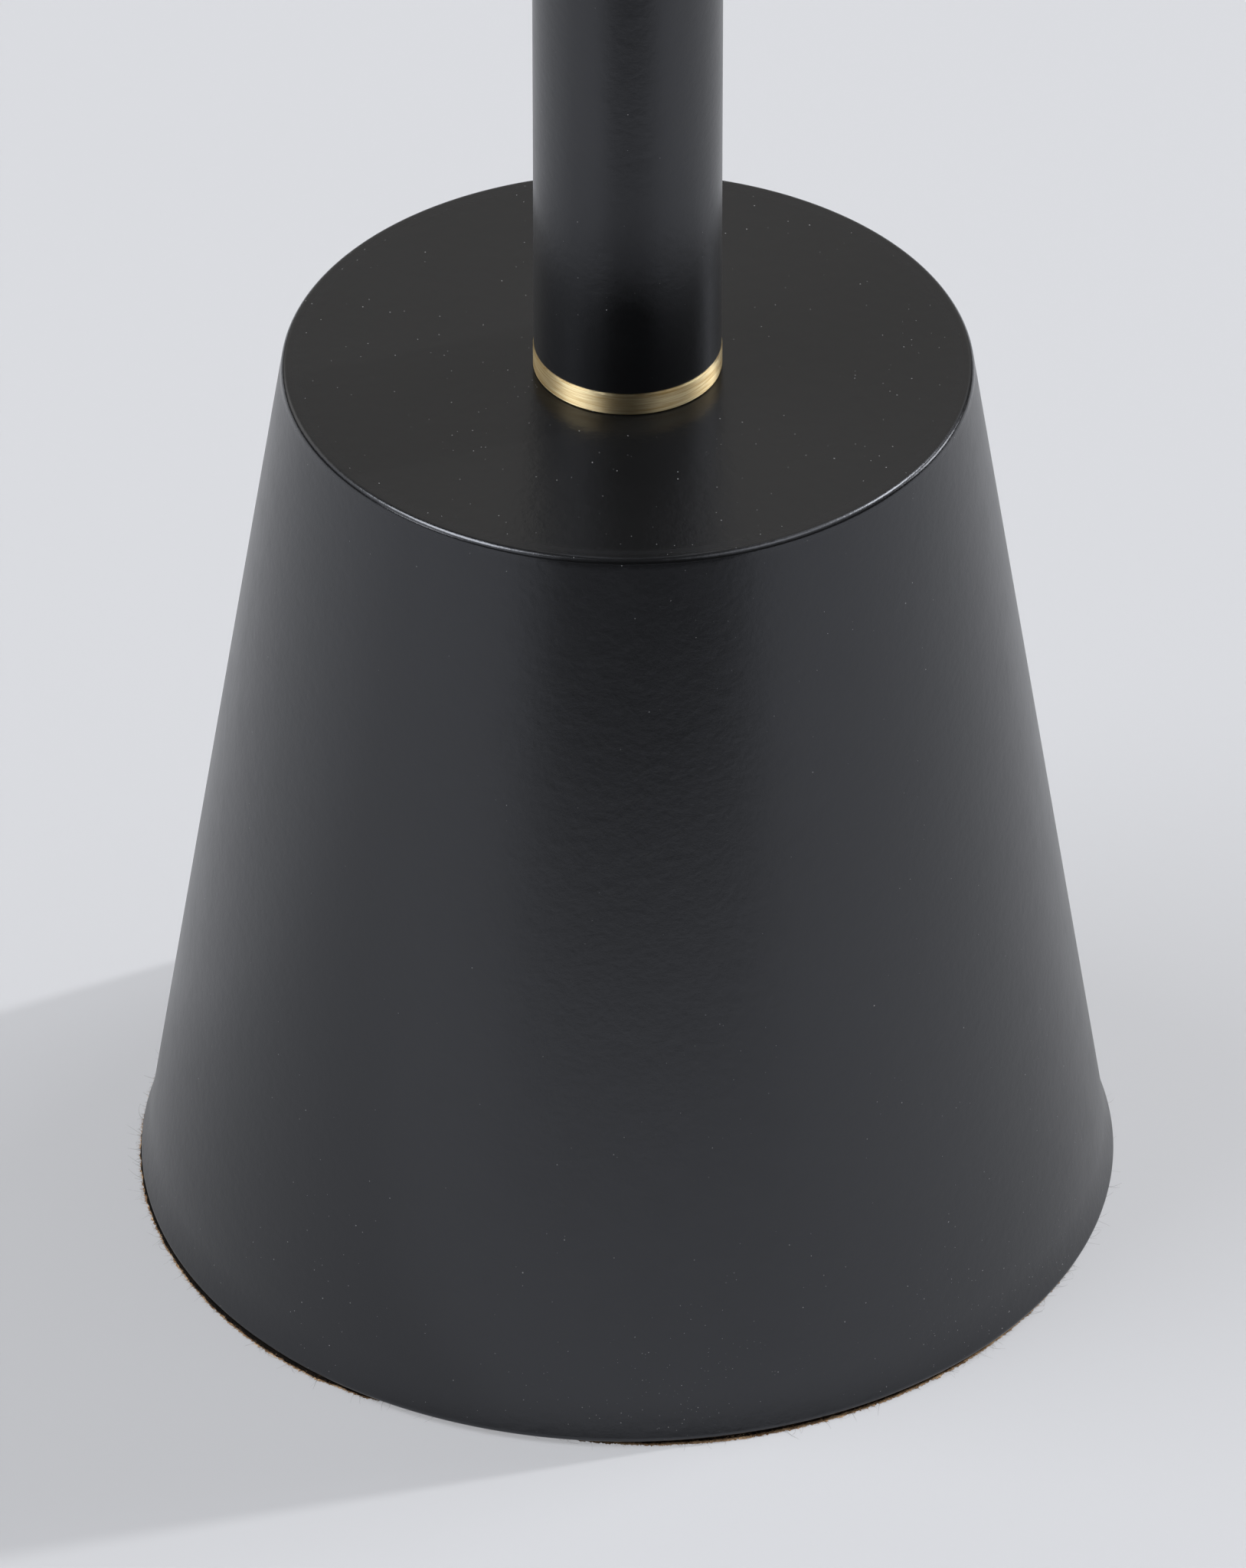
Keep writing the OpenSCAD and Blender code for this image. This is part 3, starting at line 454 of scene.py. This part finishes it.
def steps(first, last, count):
    """Evenly spaced values, both ends included."""
    return [first + (last - first) * i / count for i in range(count + 1)]


def rounded(centre_r, centre_z, radius, start, end, count):
    """Points on an arc, by angle from the outward direction, in degrees."""
    turns = [math.radians(angle) for angle in steps(start, end, count)]
    return [(centre_r + radius * math.cos(turn), centre_z + radius * math.sin(turn)) for turn in turns]


def ring_of(bm, radius, height, segments, place):
    """A ring of vertices about the +Z of place, or one vertex on its axis."""
    if radius < ON_AXIS:
        return [bm.verts.new(place @ Vector((0, 0, height)))]
    turns = [2 * math.pi * i / segments for i in range(segments)]
    return [bm.verts.new(place @ Vector((radius * math.cos(t), radius * math.sin(t), height))) for t in turns]


def bridge(bm, ring, after, segments):
    """Makes the faces between two rings, either of which may be one vertex, and returns them."""
    faces = []
    for i in range(segments):
        j = (i + 1) % segments
        corners = (ring[i % len(ring)], ring[j % len(ring)], after[j % len(after)], after[i % len(after)])
        faces.append(bm.faces.new(list(dict.fromkeys(corners))))
    return faces


def turned(bm, profile, segments, place=Matrix.Identity(4), row_materials=None):
    """Turns a closed loop of (radius, height) points about the +Z of place."""
    rings = [ring_of(bm, radius, height, segments, place) for radius, height in profile]
    for row, ring in enumerate(rings):
        after = rings[(row + 1) % len(rings)]
        if len(ring) == len(after) == 1:
            continue
        for face in bridge(bm, ring, after, segments):
            face.material_index = row_materials[row] if row_materials else 0


def cut(target, cutter):
    """Takes the cutter's solid out of the target's mesh, and deletes the cutter."""
    modifier = target.modifiers.new("cut", "BOOLEAN")
    modifier.operation = "DIFFERENCE"
    modifier.solver = "EXACT"
    modifier.object = cutter
    bpy.context.view_layer.update()
    graph = bpy.context.evaluated_depsgraph_get()
    mesh = bpy.data.meshes.new_from_object(target.evaluated_get(graph))
    target.modifiers.clear()
    target.data = mesh
    bpy.data.objects.remove(cutter)


def finish_piece(piece, body, slot, *replaced):
    """A piece rides on its body and stands for its nodes, which it hides; its slot argument is not used."""
    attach(piece, body)
    if replaced:
        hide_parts(*replaced)
    return piece


# Carried-over nodes get their materials

black = satin_black("satin_black_paint")
brass_pole = brushed_brass("brass_round_the_pole", "Z", (0, 0, 0))
brass_arm = brushed_brass("brass_round_the_arm", "X", (0, 0, arm_z))
brass_hinge = brushed_brass("brass_round_the_hinge", "Y", (hinge_x, 0, arm_z))
brass_head = brushed_brass("brass_round_the_head", "Z", (head_x, 0, 0))
steel = zinc_steel("zinc_plated_steel")
iron = cast_iron("sand_cast_iron")
nylon = black_nylon("moulded_black_nylon")
cream = phenolic("cream_phenolic")
white = white_paint("matt_white_paint")
glass = frosted_glass("frosted_bulb_glass")
felt = wool_felt("brown_black_felt", (0.0025, 0.002, 0.0016, 1), (0.012, 0.008, 0.0055, 1), 0.02)
dark_fibre = wool_felt("dark_felt_fibre", (0.008, 0.006, 0.005, 1), (0.05, 0.032, 0.02, 1), 0.05)
tan_fibre = wool_felt("tan_felt_fibre", (0.19, 0.10, 0.045, 1), (0.74, 0.50, 0.29, 1), 0.1)

finishes = {
    black: "base_shell pole_lower pole_upper swivel_cap arm_tube head_bracket socket_cup shade",
    brass_pole: "base_ring swivel_bush",
    brass_arm: "arm_locknut",
    brass_hinge: "arm_eye tilt_bolt tilt_knob",
    brass_head: "neck_ring switch_knob screw_shell centre_contact",
    steel: "bottom_plate plate_screws rod_washer rod_nut base_rod pole_foot_plug pole_coupler stop_pin "
    "swivel_spindle spindle_washer spindle_nut bracket_screws cup_screws switch_nut switch_shaft bulb_cap",
    iron: "ballast",
    nylon: "cord_bushing bushing_nut thrust_washer tilt_washers switch_body",
    cream: "lampholder shade_ring",
    glass: "bulb_glass",
    felt: "felt_pad",
}
for material, names in finishes.items():
    for name in names.split():
        for slot in nodes[name].material_slots:
            slot.material = material

# Floor, and a dark card that lies in front and only reflections see: painted shade for the unlit studio
# behind the camera

FLOOR_REACH = 90.0
FLOOR_DROP = 0.02 * MM
CARD_Z = 0.5 * MM
CARD_CORNERS = ((-0.21, -0.46, CARD_Z), (0.31, -0.46, CARD_Z), (3.2, -4.2, CARD_Z), (-2.3, -4.2, CARD_Z))


def four_cornered(name, corners, material):
    """A flat object with four corners."""
    mesh = bpy.data.meshes.new(name)
    mesh.from_pydata(corners, [], [(0, 1, 2, 3)])
    mesh.materials.append(material)
    made = bpy.data.objects.new(name, mesh)
    scene.collection.objects.link(made)
    return made


floor_corners = [(x * FLOOR_REACH, y * FLOOR_REACH, 0) for x, y in ((-1, -1), (1, -1), (1, 1), (-1, 1))]
floor = four_cornered("floor", floor_corners, pale_floor("pale_floor"))
floor.location.z = -FLOOR_DROP

# The card paints shade into the base's reflections, where the studio behind the camera is dark
card_paint, _, _ = new_material("reflection_shade_card", Base_Color=(0.02, 0.02, 0.022, 1), Roughness=0.9)
card = four_cornered("reflection_shade_card", CARD_CORNERS, card_paint)
card.visible_camera = card.visible_diffuse = card.visible_shadow = False

# Studio: soft panels, each with its radiance, azimuths from the front, elevations and soft edge, in degrees

BACKDROP = (0.690, 0.698, 0.727, 1)
STUDIO_BASE = (0.02, 0.02, 0.021)
PANELS = (
    ((0.9, 0.914, 0.95), (-122, -28), (24, 46), 4),
    ((10.5, 10.7, 11.0), (-112, -50), (48, 66), 4),
    ((0.3, 0.305, 0.315), (30, 152), (24, 46), 4),
    ((1.0, 1.015, 1.05), (30, 152), (46, 68), 4),
    ((1.4, 1.42, 1.47), (55, 95), (50, 72), 4),
    ((11.0, 11.1, 11.4), (106, 124), (17, 27), 4),
    ((6.0, 6.07, 6.2), (-78, -58), (15, 23), 4),
    ((18.0, 18.25, 18.9), (108, 134), (44, 53), 4),
    ((0.35, 0.337, 0.315), (146, 190), (8, 62), 6),
    ((0.35, 0.337, 0.315), (-190, -150), (8, 62), 6),
    ((1.0, 0.98, 0.93), (-150, -122), (16, 44), 6),
)

world = bpy.data.worlds.new("studio")
world.use_nodes = True
scene.world = world
sky = world.node_tree
sky.nodes.clear()
looking = add(sky, "ShaderNodeTexCoord").outputs["Generated"]
sideways, inwards, upwards = add(sky, "ShaderNodeSeparateXYZ", {0: looking}).outputs
azimuth = calc(sky, "DEGREES", calc(sky, "ARCTAN2", sideways, product(sky, inwards, -1.0)))
elevation = calc(sky, "DEGREES", calc(sky, "ARCSINE", upwards))


def with_panel(light, radiance, azimuths, elevations, soft):
    """The studio's light with one more panel in it."""
    sides = []
    for angle, (low, high) in ((azimuth, azimuths), (elevation, elevations)):
        sides.append(remap(sky, angle, low - soft, low + soft, 0.0, 1.0, smooth=True))
        sides.append(remap(sky, angle, high - soft, high + soft, 1.0, 0.0, smooth=True))
    return vector_calc(sky, "MULTIPLY_ADD", product(sky, *sides), radiance, light)


studio_light = STUDIO_BASE
for panel in PANELS:
    studio_light = with_panel(studio_light, *panel)
studio = add(sky, "ShaderNodeBackground", {"Color": studio_light, "Strength": 1.0})
backdrop = add(sky, "ShaderNodeBackground", {"Color": BACKDROP, "Strength": 1.0})
seen = add(sky, "ShaderNodeLightPath").outputs["Is Camera Ray"]
mixed = add(sky, "ShaderNodeMixShader", {0: seen, 1: studio.outputs[0], 2: backdrop.outputs[0]})
add(sky, "ShaderNodeOutputWorld", {0: mixed.outputs[0]})

# Key light, and a second sun from the same side that deepens the shadow on the floor alone

KEY_AZIMUTH = math.radians(110.5)
KEY_ELEVATION = math.radians(33)
KEY_SPREAD = math.radians(2.2)
KEY_ENERGY = 1.5
FLOOR_KEY_ENERGY = 1.6
to_key = Vector(
    (
        math.sin(KEY_AZIMUTH) * math.cos(KEY_ELEVATION),
        -math.cos(KEY_AZIMUTH) * math.cos(KEY_ELEVATION),
        math.sin(KEY_ELEVATION),
    )
)


def sun(name, energy):
    """A sun from the key's direction, crisp enough for the photograph's shadow, hidden from reflections."""
    light = bpy.data.lights.new(name, "SUN")
    light.energy = energy
    light.angle = KEY_SPREAD
    made = bpy.data.objects.new(name, light)
    made.visible_glossy = False
    made.rotation_mode = "QUATERNION"
    made.rotation_quaternion = to_key.to_track_quat("Z", "Y")
    scene.collection.objects.link(made)
    return made


sun("key", KEY_ENERGY)
floor_only = bpy.data.collections.new("floor_only")
floor_only.objects.link(floor)
sun("floor_key", FLOOR_KEY_ENERGY).light_linking.receiver_collection = floor_only

# Base: the spun cone, smooth all round, with the cord's outlet through its back

BASE_WALL = 2 * MM
BASE_EDGE_R = 1.4 * MM
LIP_FLARE = 1.0 * MM
LIP_HEIGHT = 9.5 * MM
LIP_EDGE_R = 0.8 * MM
ROD_HOLE_R = 6.8 * MM
OUTLET_HOLE_R = 5.6 * MM
OUTLET_CUT_L = 24 * MM
OUTLET_SEGMENTS = 48
BASE_SEGMENTS = 320
SHELL_T = BASE_WALL / math.cos(BASE_TILT)


def shell_r(z):
    """Outer radius of the shell at a height, with the foot's flare."""
    above = z - base_low.z
    share = max(1 - above / LIP_HEIGHT, 0)
    return BASE_FOOT_R - above * BASE_SLOPE + LIP_FLARE * share * share


def outlet_cutter():
    """A plug along the cord outlet's axis."""
    outlet = next(m for m in frame["record"]["mounts"] if m["name"] == "cord_outlet")
    through = Vector(outlet["axis"]).to_track_quat("Z", "Y").to_matrix().to_4x4()
    through.translation = Vector(outlet["pos_m"])
    bm = bmesh.new()
    bmesh.ops.create_cone(
        bm,
        cap_ends=True,
        segments=OUTLET_SEGMENTS,
        radius1=OUTLET_HOLE_R,
        radius2=OUTLET_HOLE_R,
        depth=OUTLET_CUT_L,
        matrix=through,
    )
    return object_from(bm, "outlet_cutter", [black])


def make_base_shell():
    """The cone's wall and top, as one turned shell."""
    lip_z = base_low.z + LIP_EDGE_R
    edge_z = base_high.z - BASE_EDGE_R
    under_z = base_high.z - BASE_WALL
    flare = steps(lip_z, base_low.z + LIP_HEIGHT, 24)
    wall = steps(flare[-1], edge_z - EDGE_STEP, 10)
    edge_x = shell_r(edge_z) - BASE_EDGE_R / math.cos(BASE_TILT)
    profile = rounded(shell_r(lip_z) - LIP_EDGE_R, lip_z, LIP_EDGE_R, -90, 0, 10)
    profile += [(shell_r(z), z) for z in flare[1:] + wall[1:]]
    profile += rounded(edge_x, edge_z, BASE_EDGE_R, math.degrees(BASE_TILT), 90, 16)
    profile += [(r, base_high.z) for r in (edge_x - EDGE_STEP, edge_x * 0.6, ROD_HOLE_R)]
    profile += [(ROD_HOLE_R, under_z), (shell_r(under_z) - SHELL_T, under_z)]
    profile += [(shell_r(z) - SHELL_T, z) for z in reversed(flare)]
    profile += [(shell_r(base_low.z) - SHELL_T, base_low.z)]
    bm = bmesh.new()
    turned(bm, profile, BASE_SEGMENTS)
    shell = object_from(bm, "base_cone", [black])
    cut(shell, outlet_cutter())
    return shell


finish_piece(make_base_shell(), "stand", "satin_black", "base_shell")

# Pole: two tubes whose ends are eased, which leaves a fine seam where they meet

POLE_WALL = 1.5 * MM
POLE_EASE = 0.35 * MM
POLE_SEGMENTS = 160


def make_pole(node):
    """One section of the pole."""
    low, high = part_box(node)
    near = POLE_EASE + EDGE_STEP
    inside, outside = high.x - POLE_WALL, high.x
    profile = [(inside, low.z)]
    profile += rounded(outside - POLE_EASE, low.z + POLE_EASE, POLE_EASE, -90, 0, 6)
    profile += [(outside, z) for z in steps(low.z + near, high.z - near, 8)]
    profile += rounded(outside - POLE_EASE, high.z - POLE_EASE, POLE_EASE, 0, 90, 6)
    profile += [(inside, high.z)]
    bm = bmesh.new()
    turned(bm, profile, POLE_SEGMENTS)
    return object_from(bm, node + "_tube", [black])


for node in ("pole_lower", "pole_upper"):
    finish_piece(make_pole(node), "stand", "satin_black", node)

# Shade: black outside, matt white inside, with a rolled bead at its foot

SHADE_TOP_R = 58 * MM
SHADE_WALL = 1.2 * MM
SHADE_EDGE_R = 1.4 * MM
SHADE_BEAD_R = 1.5 * MM
HOLDER_HOLE_R = 16.7 * MM
SHADE_SEGMENTS = 256
BEAD_STEPS = 30
WHITE_BEAD_ROWS = 6


def shade_r(z):
    """Outer radius of the shade at a height."""
    return SHADE_TOP_R + (shade_high.z - z) * BASE_SLOPE


def make_shade():
    """The shade's bead, outside and inside, as one turned shell."""
    wall = SHADE_WALL / math.cos(BASE_TILT)
    lean = math.degrees(BASE_TILT)
    spread = math.degrees(math.acos(SHADE_WALL / 2 / SHADE_BEAD_R))
    bead_z = shade_low.z + SHADE_BEAD_R
    bead_x = shade_r(bead_z) - wall / 2
    top, under = shade_high.z, shade_high.z - SHADE_WALL
    edge_z = top - SHADE_EDGE_R
    edge_x = shade_r(edge_z) - SHADE_EDGE_R / math.cos(BASE_TILT)
    above_bead = bead_z + 2 * SHADE_BEAD_R
    bead = rounded(bead_x, bead_z, SHADE_BEAD_R, lean + 180 - spread, lean + 360 + spread, BEAD_STEPS)
    outside = [(shade_r(z), z) for z in steps(above_bead, edge_z - EDGE_STEP, 8)]
    outside += rounded(edge_x, edge_z, SHADE_EDGE_R, lean, 90, 12)
    outside += [(edge_x - EDGE_STEP, top), (HOLDER_HOLE_R, top)]
    inside = [(HOLDER_HOLE_R, under)]
    inside += [(shade_r(z) - wall, z) for z in steps(under, above_bead, 8)]
    black_rows = len(bead) - WHITE_BEAD_ROWS + len(outside)
    row_materials = [1] * WHITE_BEAD_ROWS + [0] * black_rows + [1] * len(inside)
    bm = bmesh.new()
    turned(bm, bead + outside + inside, SHADE_SEGMENTS, head_place, row_materials)
    return object_from(bm, "shade_cone", [black, white])


finish_piece(make_shade(), "head", "shade_paint", "shade")

# Bulb: one smooth envelope

BULB_NECK_R = 13 * MM
BULB_SEGMENTS = 128
BULB_STEPS = 56


def make_bulb():
    """The envelope: a neck that swells into a ball."""
    low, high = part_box("bulb_glass")
    length, ball_r = high.z - low.z, (high.x - low.x) / 2
    ball_depth = length - ball_r
    profile = [(0, high.z)]
    for turn in steps(0, math.pi / 2, BULB_STEPS):
        depth = length * math.sin(turn)
        if depth < ball_depth:
            swell = math.sin(math.pi / 2 * depth / ball_depth) ** 2
            radius = BULB_NECK_R + (ball_r - BULB_NECK_R) * swell
        else:
            radius = math.sqrt(max(0, ball_r**2 - (depth - ball_depth) ** 2))
        profile.append((radius, high.z - depth))
    profile[-1] = (0, low.z)
    bm = bmesh.new()
    turned(bm, profile, BULB_SEGMENTS, head_place)
    return object_from(bm, "bulb_envelope", [glass])


finish_piece(make_bulb(), "head", "bulb", "bulb_glass")

# Switch: a painted mark let into the knob's top shows how far it is turned

MARK_L, MARK_W, MARK_T = 6 * MM, 1.2 * MM, 0.5 * MM
MARK_INSET = 1.6 * MM
MARK_PROUD = 0.04 * MM


def make_mark():
    """A bar with round ends, along a radius of the knob."""
    low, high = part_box("switch_knob")
    reach = (high.x - low.x) / 2 - MARK_INSET
    place = Matrix.Translation((head_x - reach + MARK_L / 2, 0, high.z - MARK_T / 2 + MARK_PROUD))
    bm = bmesh.new()
    bmesh.ops.create_cube(bm, size=1, matrix=place @ Matrix.Diagonal((MARK_L, MARK_W, MARK_T, 1)))
    upright = [e for e in bm.edges if abs(e.verts[0].co.z - e.verts[1].co.z) > MARK_T / 2]
    bmesh.ops.bevel(bm, geom=upright, offset=MARK_W * 0.49, segments=8, affect="EDGES", profile=0.5)
    return object_from(bm, "switch_mark", [nylon])


finish_piece(make_mark(), "switch", "nylon")

# Felt under the foot: a laid sheet with an uneven cut edge, and its stray fibres

FELT_TOP = base_low.z
LIP_R = base_high.x
FELT_SEGMENTS = 2880
FELT_SHARP = math.radians(50)
FELT_INNER_RINGS = (0.0, 0.35, 0.7, 0.9, 0.97)
FELT_EDGE_ROWS = (0.0, 0.1, 0.2, 0.5, 0.8, 1.0)
EDGE_WAVE = 0.15
EDGE_FUZZ = 0.24 * MM
EDGE_CROWN = 0.10 * MM

# How far the felt's cut edge lies beyond the foot's lip, in mm, by degrees from the front towards +X

FELT_EDGE = (
    (-180, -0.6), (-110, -0.2), (-86, 0.2), (-66, 0.25), (-50, 0.2), (-40, -0.05), (-33, -0.7), (-27, -2.7),
    (-9, -2.7), (-3, -1.5), (4, -0.8), (12, -0.6), (25, -0.7), (36, -0.95), (56, -1.3), (76, -1.4),
    (110, -0.8), (180, -0.6),
)

# The tan fringe low on the cut edge: its share of the thickness, its middle and half width in degrees,
# how far it stands out and spreads there in mm, and its teeth, with their depth in mm and waves per metre

FRINGE_TOP = 0.15
FRINGE_ANGLE = 28
FRINGE_HALF = 48
FRINGE_OUT = 0.22
FRINGE_SPREAD = 0.5
FRINGE_TEETH = ((0.32, 1700), (0.34, 4300))


def felt_edge(angle):
    """The cut edge's place at an angle, eased between the places above and a little wavy."""
    turn = math.radians(angle)
    slow = noise.noise(Vector((math.cos(turn) * 5, math.sin(turn) * 5, 4.2)))
    for (low, before), (high, after) in zip(FELT_EDGE, FELT_EDGE[1:]):
        if angle <= high:
            share = (angle - low) / (high - low)
            return (before + (after - before) * share * share * (3 - 2 * share) + EDGE_WAVE * slow) * MM
    return FELT_EDGE[-1][1] * MM


def fringe_share(angle):
    """How far the tan fringe is spread at an angle: most at the front right, as in the photograph."""
    apart = abs((angle - FRINGE_ANGLE + 180) % 360 - 180)
    return max(0.0, 1 - (apart / FRINGE_HALF) ** 2)


def felt_radius(angle, height_share):
    """Radius of the cut edge at an angle from the front and a share of the thickness, with its fuzz."""
    turn = math.radians(angle)
    spot = Vector((math.sin(turn) * LIP_R, -math.cos(turn) * LIP_R, height_share * FELT_TOP))
    rough = noise.fractal(spot * 650, 0.6, 2.1, 4) * EDGE_FUZZ
    bulge = -EDGE_CROWN * (2 * height_share - 1) ** 2
    if height_share < FRINGE_TOP:
        teeth = sum(depth * noise.noise(spot * waves) for depth, waves in FRINGE_TEETH)
        bulge += (FRINGE_OUT + FRINGE_SPREAD * fringe_share(angle) + teeth) * MM
    return LIP_R + felt_edge((angle + 180) % 360 - 180) + rough + bulge


def make_felt():
    """The sheet: its underside, its cut edge with the fringe, and its top."""
    bm = bmesh.new()

    def ring(share, height_share):
        """A ring at a share of the radius and of the thickness."""
        z = height_share * FELT_TOP
        if share == 0:
            return [bm.verts.new((0, 0, z))]
        verts = []
        for i in range(FELT_SEGMENTS):
            angle = 360 * i / FELT_SEGMENTS
            turn = math.radians(angle)
            radius = felt_radius(angle, height_share) if share == 1 else LIP_R * share
            verts.append(bm.verts.new((math.sin(turn) * radius, -math.cos(turn) * radius, z)))
        return verts

    rings = [ring(share, 0.0) for share in FELT_INNER_RINGS]
    rings += [ring(1, height_share) for height_share in FELT_EDGE_ROWS]
    rings += [ring(share, 1.0) for share in reversed(FELT_INNER_RINGS)]
    first_edge_row = len(FELT_INNER_RINGS)
    fringe_rows = range(first_edge_row - 1, first_edge_row + 2)
    for row, (inner, outer) in enumerate(zip(rings, rings[1:])):
        for face in bridge(bm, inner, outer, FELT_SEGMENTS):
            face.material_index = 1 if row in fringe_rows else 0
    return object_from(bm, "felt_sheet", [felt, tan_fibre], FELT_SHARP)


# Fibres: their numbers, lengths and widths, these in mm, and their form

FIBRE_SEED = 20
FRINGE_FIBRES = 12000
STRAY_FIBRES = 360
FRINGE_MEAN = 0.36
FRINGE_MOST = 1.1
FRINGE_LEAST = 0.15
STRAY_LENGTHS = (1.2, 4.2)
FIBRE_WIDTHS = (0.013, 0.026)
FIBRE_TAPER = 0.6
FIBRE_UP = Vector((0.3, 0.2, 1))
FIBRE_CORNERS = (0.5, 2.594, 4.689)
FIBRE_CLEAR = 0.05 * MM
FIBRE_ROOT = 0.08 * MM
FIBRE_SHARP = math.radians(80)
DARK_SHARE = 0.45


def add_fibre(bm, point, heading, curl, length, width, pieces):
    """One tapered three-sided fibre that bends by curl at each of its pieces, and stays above the floor."""
    faces = []
    last = None
    for step in range(pieces + 1):
        across = heading.cross(FIBRE_UP).normalized()
        up = heading.cross(across).normalized()
        taper = width * (1 - FIBRE_TAPER * step / pieces)
        corners = [
            bm.verts.new(point + across * (taper * math.cos(a)) + up * (taper * math.sin(a)))
            for a in FIBRE_CORNERS
        ]
        if last:
            for i in range(3):
                j = (i + 1) % 3
                faces.append(bm.faces.new((last[i], last[j], corners[j], corners[i])))
        else:
            faces.append(bm.faces.new(corners))
        last = corners
        heading = (heading + curl).normalized()
        point = point + heading * (length / pieces)
        point.z = max(point.z, FIBRE_CLEAR)
    faces.append(bm.faces.new(last))
    return faces


def make_fibres():
    """Short tan and dark fibres along the cut edge, and longer stray ones."""
    draw = random.Random(FIBRE_SEED)
    bm = bmesh.new()
    for number in range(FRINGE_FIBRES + STRAY_FIBRES):
        stray = number >= FRINGE_FIBRES
        angle = draw.uniform(0, 360)
        turn = math.radians(angle)
        height = draw.betavariate(1.3, 2.4)
        out = Vector((math.sin(turn), -math.cos(turn), 0))
        side = Vector((math.cos(turn), math.sin(turn), 0))
        point = out * (felt_radius(angle, height) - FIBRE_ROOT)
        point.z = max(height * FELT_TOP, FIBRE_CLEAR)
        if stray:
            length = draw.uniform(*STRAY_LENGTHS) * MM
        else:
            length = min(draw.expovariate(1 / FRINGE_MEAN), FRINGE_MOST) * MM + FRINGE_LEAST * MM
        heading = (out + side * draw.gauss(0, 0.8) + Vector((0, 0, draw.gauss(0.0, 0.35)))).normalized()
        curl = Vector((draw.gauss(0, 1), draw.gauss(0, 1), draw.gauss(-0.2, 0.5)))
        width = draw.uniform(*FIBRE_WIDTHS) * MM
        tone = 0 if stray or draw.random() < DARK_SHARE else 1
        bends, pieces = (1.5, 6) if stray else (0.5, 2)
        for face in add_fibre(bm, point, heading, curl * (bends / pieces), length, width, pieces):
            face.material_index = tone
    return object_from(bm, "felt_fibres", [dark_fibre, tan_fibre], FIBRE_SHARP)


felt_sheet = finish_piece(make_felt(), "stand", "felt", "felt_pad")
felt_fibres = finish_piece(make_fibres(), "stand", "felt")
